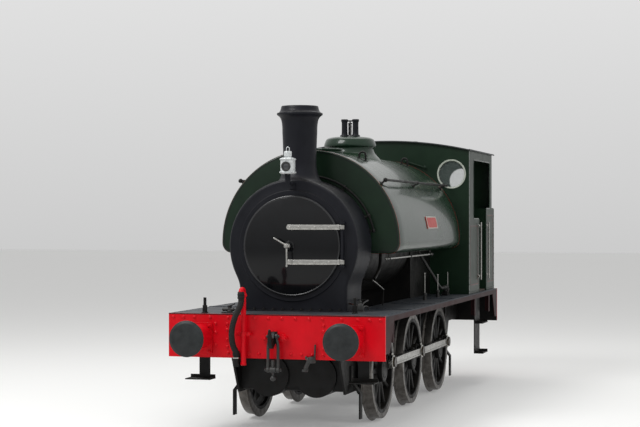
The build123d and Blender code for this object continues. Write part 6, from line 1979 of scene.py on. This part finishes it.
@dataclass
class Cab:
    """Cab: dressed sheets, beading, rivets, window rims, roof, floor planks and hand rails."""

    front: float = PLAN.cab_front
    back: float = PLAN.cab_back
    half: float = 1190.0
    bunker_back: float = 3590.0
    bunker_top: float = 2528.0
    roof_half: float = 1212.0
    roof_peak: float = 3468.0
    eaves: float = 3332.0
    roof_front: float = 1500.0
    roof_back: float = 3510.0
    windows: tuple[tuple[float, float, float, int], ...] = (
        (946.0, 1545.0, 2998.0, -1), (-946.0, 1545.0, 2998.0, -1), (735.0, 3400.0, 2948.0, 1),
        (-735.0, 3400.0, 2948.0, 1),
    )

    def roof_z(self, x: np.ndarray, drop: float = 0.0) -> np.ndarray:
        """Height of the roof: the arc through both eaves and the peak.

        Args:
            x: Distances from the middle.
            drop: How far inside that arc.

        Returns:
            One height for each x.
        """
        rise = self.roof_peak - self.eaves
        radius = (self.roof_half**2 + rise**2) / (2 * rise)
        return self.roof_peak - radius + np.sqrt((radius - drop) ** 2 - np.square(x))

    def arch(self, work: Meshwork, x: np.ndarray, upper: np.ndarray, lower: np.ndarray, ys: tuple) -> None:
        """Add a sheet between two lines over x, carried along Y.

        Args:
            work: Mesh in hand.
            x: Distances from the middle.
            upper: Heights of its upper face.
            lower: Heights of its lower face.
            ys: Its two ends.
        """
        section = np.concatenate([np.column_stack([x, upper]), np.column_stack([x, lower])[::-1]])
        work.grid(np.stack([at_y(section, y) for y in ys]), caps=True)

    def roof(self) -> None:
        """Roof sheet as an arc section with a rolled eaves, rain strips and cross ribs."""
        work = Meshwork()
        front, back, side = self.roof_front, self.roof_back, self.roof_half - 12
        x = np.linspace(-self.roof_half + 0.6, self.roof_half - 0.6, 61)
        z = self.roof_z(x)
        self.arch(work, x, z, self.roof_z(x, 12), (front, back))
        for y in (front, 2170.0, 2840.0, back - 24):
            self.arch(work, x, z + 2.5, z - 2, (y, y + 24))
        for s in (-1, 1):
            work.rod((s * side, front + 4, self.eaves + 2), (s * side, back - 4, self.eaves + 2), 9, 12)
        work.slab((-330, 2080, self.roof_peak - 10), (330, 2620, self.roof_peak + 16))
        work.piece("roof_sheet", ROOF, "frame_black", replaces=("cab_roof",), bevel=1.0)

    def rims(self) -> None:
        """White-painted window rims with clips, and the round panes."""
        work = Meshwork()
        for x, y, z, s in self.windows:
            rim = [(182, 0), (182, 7), (185, 9), (198, 9), (203, 5), (203, 0)]
            work.turned(rim, (x, y, z), s * Y, 72, loop=True)
            work.turned([(179, 0), (179, -12), (184, -12), (184, 0)], (x, y, z), s * Y, 72, loop=True)
            work.rivets(at_y(arc((x, z), 193, 15, 330, 8), y + s * 9), s * Y, 6, 3, 8)
        work.piece("window_beads", RIM_WHITE, "cream_white", replaces=("window_rims",))
        dress(GLASS, "window_glass")

    def beading(self) -> None:
        """Half-round beading round the cab's openings, corner angles and lines of flush rivets."""
        work = Meshwork()
        deck, back, top = PLAN.deck, self.bunker_back, self.bunker_top
        line = [
            (2349, deck), (2349, 2340), (2330, 2372), (2300, 2378), (1940, 2378), (1903, 2395), (1897, 2430),
            (1897, 3150), (1912, 3194), (1950, 3206), (3180, 3206), (3218, 3194), (3230, 3150), (3230, 2560),
            (3216, 2534), (3180, 2528), (2960, 2528), (2934, 2518), (2928, 2490), (2928, deck),
        ]
        angles = ((self.front - 1, self.front + 36, self.eaves - 30), (back - 37, back - 1, top))
        for s in (-1, 1):
            x = s * self.half
            work.tube(resample(np.array([(x - s * 5, y, z) for y, z in line]), 200), 9, X, 10)
            for start, stop, high in angles:
                work.slab((x - s * 2, start, deck), (x + s * 3, stop, high))
                spots = row(x + s * 3, (start + stop) / 2, np.arange(deck + 40, high - 30, 95.0))
                work.rivets(spots, s * X, 8, 3.5, 8)
            for start, stop in ((self.front + 80, 2330), (2970, 3560)):
                work.rivets(row(x, np.arange(start, stop, 95.0), deck + 30), s * X, 8, 3.5, 8)
        work.tube(np.linspace((-1184, back - 5, top), (1184, back - 5, top), 8), 9, Z, 10)
        work.piece("cab_beading", GREEN, "gloss_green", bevel=0.8)

    def inside(self) -> None:
        """Deal planks on the floor, a seat box on each side and the smoked lining of the cab's inside."""
        work, seats, skin = Meshwork(), Meshwork(), Meshwork()
        deck = PLAN.deck
        for y in range(1732, 2900, 168):
            work.slab((-1172, y, deck), (1172, y + 160, deck + 22))
        work.piece("footplate_planks", PLANK, "deck_grey", bevel=2.0)
        for s in (-1, 1):
            seats.slab((s * 1176, 1740, deck + 22), (s * 990, 2300, deck + 480))
            seats.slab((s * 1178, 1734, deck + 480), (s * 976, 2306, deck + 512))
        seats.piece("cab_seat_boxes", CAB_BUFF, "cream_white", bevel=3.0)
        x = np.linspace(-1176, 1176, 41)
        self.arch(skin, x, self.roof_z(x, 16), self.roof_z(x, 20), (self.front + 12, self.back - 14))
        skin.piece("cab_ceiling", CAB_BUFF, "cream_white")

    def rails(self) -> None:
        """Green slanted rails on the cab front and bright upright ones beside the doorways."""
        work = Meshwork()
        post = [(0, 0), (24, 0), (24, 5), (12, 9), (11, 26), (17, 32), (17, 46), (12, 52), (0, 53)]
        stub = [(0, -2), (24, -2), (24, 5), (12, 9), (10, 20), (18, 28), (19, 36), (14, 44), (0, 46)]
        for s in (-1, 1):
            low, high = (s * 568, 1506, 3093), (s * 303, 1506, 3178)
            work.rod(low, high, 11, 16, 1)
            for end in (low, high):
                work.turned(post, end + 38 * Y, -Y, 20, 1)
            for y in (2311, 2966):
                work.rod((s * (self.half + 34), y, 1508), (s * (self.half + 34), y, 2328), 12)
                for z in (1558, 2278):
                    work.turned(stub, (s * self.half, y, z), s * X, 20)
        work.piece("cab_rail_set", (STEEL, GREEN_FLAT), "bright_steel", replaces=("cab_handrails",))

    def lining(self) -> None:
        """Thin painted lines on the cab side and bunker panels."""
        work = Meshwork()
        panels = ((1640.0, 2262.0, 1440.0, 2290.0), (3000.0, 3520.0, 1440.0, 2440.0))
        for s in (-1, 1):
            inner, outer = s * (self.half + 0.1), s * (self.half + 0.8)
            for y0, y1, z0, z1 in panels:
                for mark, (w, gap) in enumerate(((9.0, 0.0), (3.5, 14.0))):
                    a, b, c, d = y0 + gap, y1 - gap, z0 + gap, z1 - gap
                    for start, stop, low, high in (
                        (a, b, c, c + w), (a, b, d - w, d), (a, a + w, c + w, d - w), (b - w, b, c + w, d - w),
                    ):
                        work.slab((inner, start, low), (outer, stop, high), mark)
        work.piece("cab_lining", (LINING_BLACK, LINING_RED), "gloss_black")

    def build(self) -> None:
        """Dress the sheets and build the pieces on them."""
        dress(GREEN_FLAT, "cab_front_sheet", "left_cab_side", "right_cab_side", "cab_rear_sheet", "bunker")
        self.roof()
        self.rims()
        self.beading()
        self.inside()
        self.rails()
        self.lining()


@dataclass
class Studio:
    """Camera at the photograph's angle, pale floor and plain soft light."""

    eye: tuple[float, float, float] = (5.236, -20.254, 2.389)
    tilt: float = 90.16
    yaw: float = 15.84
    lens: float = 89.83
    floor_colour: str = "#dededc"
    floor_reach: float = 90.0
    floor_glow: float = 0.2
    world: float = 0.42
    horizon: float = 0.6

    def tree(self, owner: bpy.types.Material | bpy.types.World) -> tuple[bpy.types.NodeTree, bpy.types.Node]:
        """Clear a material's or a world's nodes and tell the rays of the camera, of glass and of gloss apart.

        Args:
            owner: The material or the world.

        Returns:
            Its tree, and the node whose first output is 1 for those rays.
        """
        owner.use_nodes = True
        tree = owner.node_tree
        tree.nodes.clear()
        path, most = add_node(tree, "ShaderNodeLightPath"), {"operation": "MAXIMUM"}
        straight = {0: (path, "Is Camera Ray"), 1: (path, "Is Transmission Ray")}
        straight = add_node(tree, "ShaderNodeMath", most, straight)
        return tree, add_node(tree, "ShaderNodeMath", most, {0: (straight, 0), 1: (path, "Is Glossy Ray")})

    def camera(self) -> None:
        """Place the camera."""
        data = bpy.data.cameras.new("photo_camera")
        data.lens = self.lens
        data.sensor_width = 36.0
        data.clip_end = 300.0
        eye = bpy.data.objects.new("photo_camera", data)
        eye.location = self.eye
        eye.rotation_euler = (math.radians(self.tilt), 0.0, math.radians(self.yaw))
        bpy.context.scene.collection.objects.link(eye)
        bpy.context.scene.camera = eye

    def floor(self) -> None:
        """Lay a pale floor that stays white where the camera or a reflection sees it unlit."""
        mesh, r = bpy.data.meshes.new("studio_floor"), self.floor_reach
        mesh.from_pydata([(-r, -r, 0), (r, -r, 0), (r, r, 0), (-r, r, 0)], [], [(0, 1, 2, 3)])
        floor = bpy.data.objects.new("studio_floor", mesh)
        bpy.context.scene.collection.objects.link(floor)
        material = bpy.data.materials.new("pale_studio_floor")
        tree, seen = self.tree(material)
        glow = {"operation": "MULTIPLY", 1: self.floor_glow}
        glow = add_node(tree, "ShaderNodeMath", glow, {0: (seen, 0)})
        paint = {"Roughness": 0.9, "Base Color": linear(self.floor_colour), "Emission Color": (1.0, 1.0, 1.0, 1.0)}
        shader = add_node(tree, "ShaderNodeBsdfPrincipled", paint, {"Emission Strength": (glow, 0)})
        add_node(tree, "ShaderNodeOutputMaterial", links={"Surface": (shader, 0)})
        mesh.materials.append(material)

    def sky(self) -> None:
        """White where the camera, glass or gloss sees it, and an even soft fill elsewhere."""
        world = bpy.data.worlds.new("studio_world")
        bpy.context.scene.world = world
        tree, seen = self.tree(world)
        way = add_node(tree, "ShaderNodeTexCoord")
        height = add_node(tree, "ShaderNodeSeparateXYZ", links={0: (way, "Generated")})
        sweep = {"From Min": -0.02, "From Max": 0.4, "To Min": self.horizon, "To Max": 1.0}
        sweep = add_node(tree, "ShaderNodeMapRange", sweep, {"Value": (height, 2)})
        fill = {"Value": (seen, 0), "To Max": (sweep, 0)}
        fill = add_node(tree, "ShaderNodeMapRange", {"To Min": self.world}, fill)
        glow = add_node(tree, "ShaderNodeBackground", {"Color": (1.0, 1.0, 1.0, 1.0)}, {"Strength": (fill, 0)})
        add_node(tree, "ShaderNodeOutputWorld", links={"Surface": (glow, 0)})

    def lamp(
        self, name: str, place: Sequence[float], aim: Sequence[float], size: float, watts: float, mirrored: bool = True
    ) -> None:
        """Hang one square soft lamp at place, facing aim; gloss shows it only where mirrored is set.

        Args:
            name: Of the lamp.
            place: In metres.
            aim: Point that it faces.
            size: Of its side, in metres.
            watts: Its power.
            mirrored: Whether gloss shows it.
        """
        data = bpy.data.lights.new(name, "AREA")
        data.shape = "SQUARE"
        data.size = size
        data.energy = watts
        thing = bpy.data.objects.new(name, data)
        thing.location = place
        thing.visible_glossy = mirrored
        thing.rotation_euler = (Vector(aim) - Vector(place)).to_track_quat("-Z", "Y").to_euler()
        bpy.context.scene.collection.objects.link(thing)

    def build(self) -> None:
        """Build the camera, floor and lights, with colours shown as they are written."""
        bpy.context.scene.view_settings.view_transform = "Standard"
        self.camera()
        self.floor()
        self.sky()
        self.lamp("key_lamp", (-6.5, -10.0, 13.5), (0, -1.5, 1.8), 6.0, 1500.0)
        self.lamp("fill_lamp", (13.0, -8.0, 6.0), (0, 0, 1.8), 7.0, 550.0, mirrored=False)
        self.lamp("top_lamp", (0.0, 2.0, 12.0), (0, 0, 2.0), 8.0, 500.0)


def main() -> None:
    """Build the sub-assemblies in order and report each."""
    leading, driving, trailing = PLAN.axles
    parts = [
        SaddleTank(), Filler(), Dome(), Smokebox(), SmokeboxDoor(), Chimney(), Lamp(), Beams(), Buffers(), DrawGear(),
        VacuumGear(), Deck(), Valance(), Wheelset("leading", leading), Wheelset("driving", driving, cranked=True),
        Wheelset("trailing", trailing), CouplingRod(Side.LEFT), CouplingRod(Side.RIGHT), Springs(), BrakeGear(),
        Chassis(), Boiler(), SidePipes(), Cab(), Studio(),
    ]
    for part in parts:
        log.info("building %s", type(part).__name__)
        part.build()


if __name__ == "__main__":
    main()
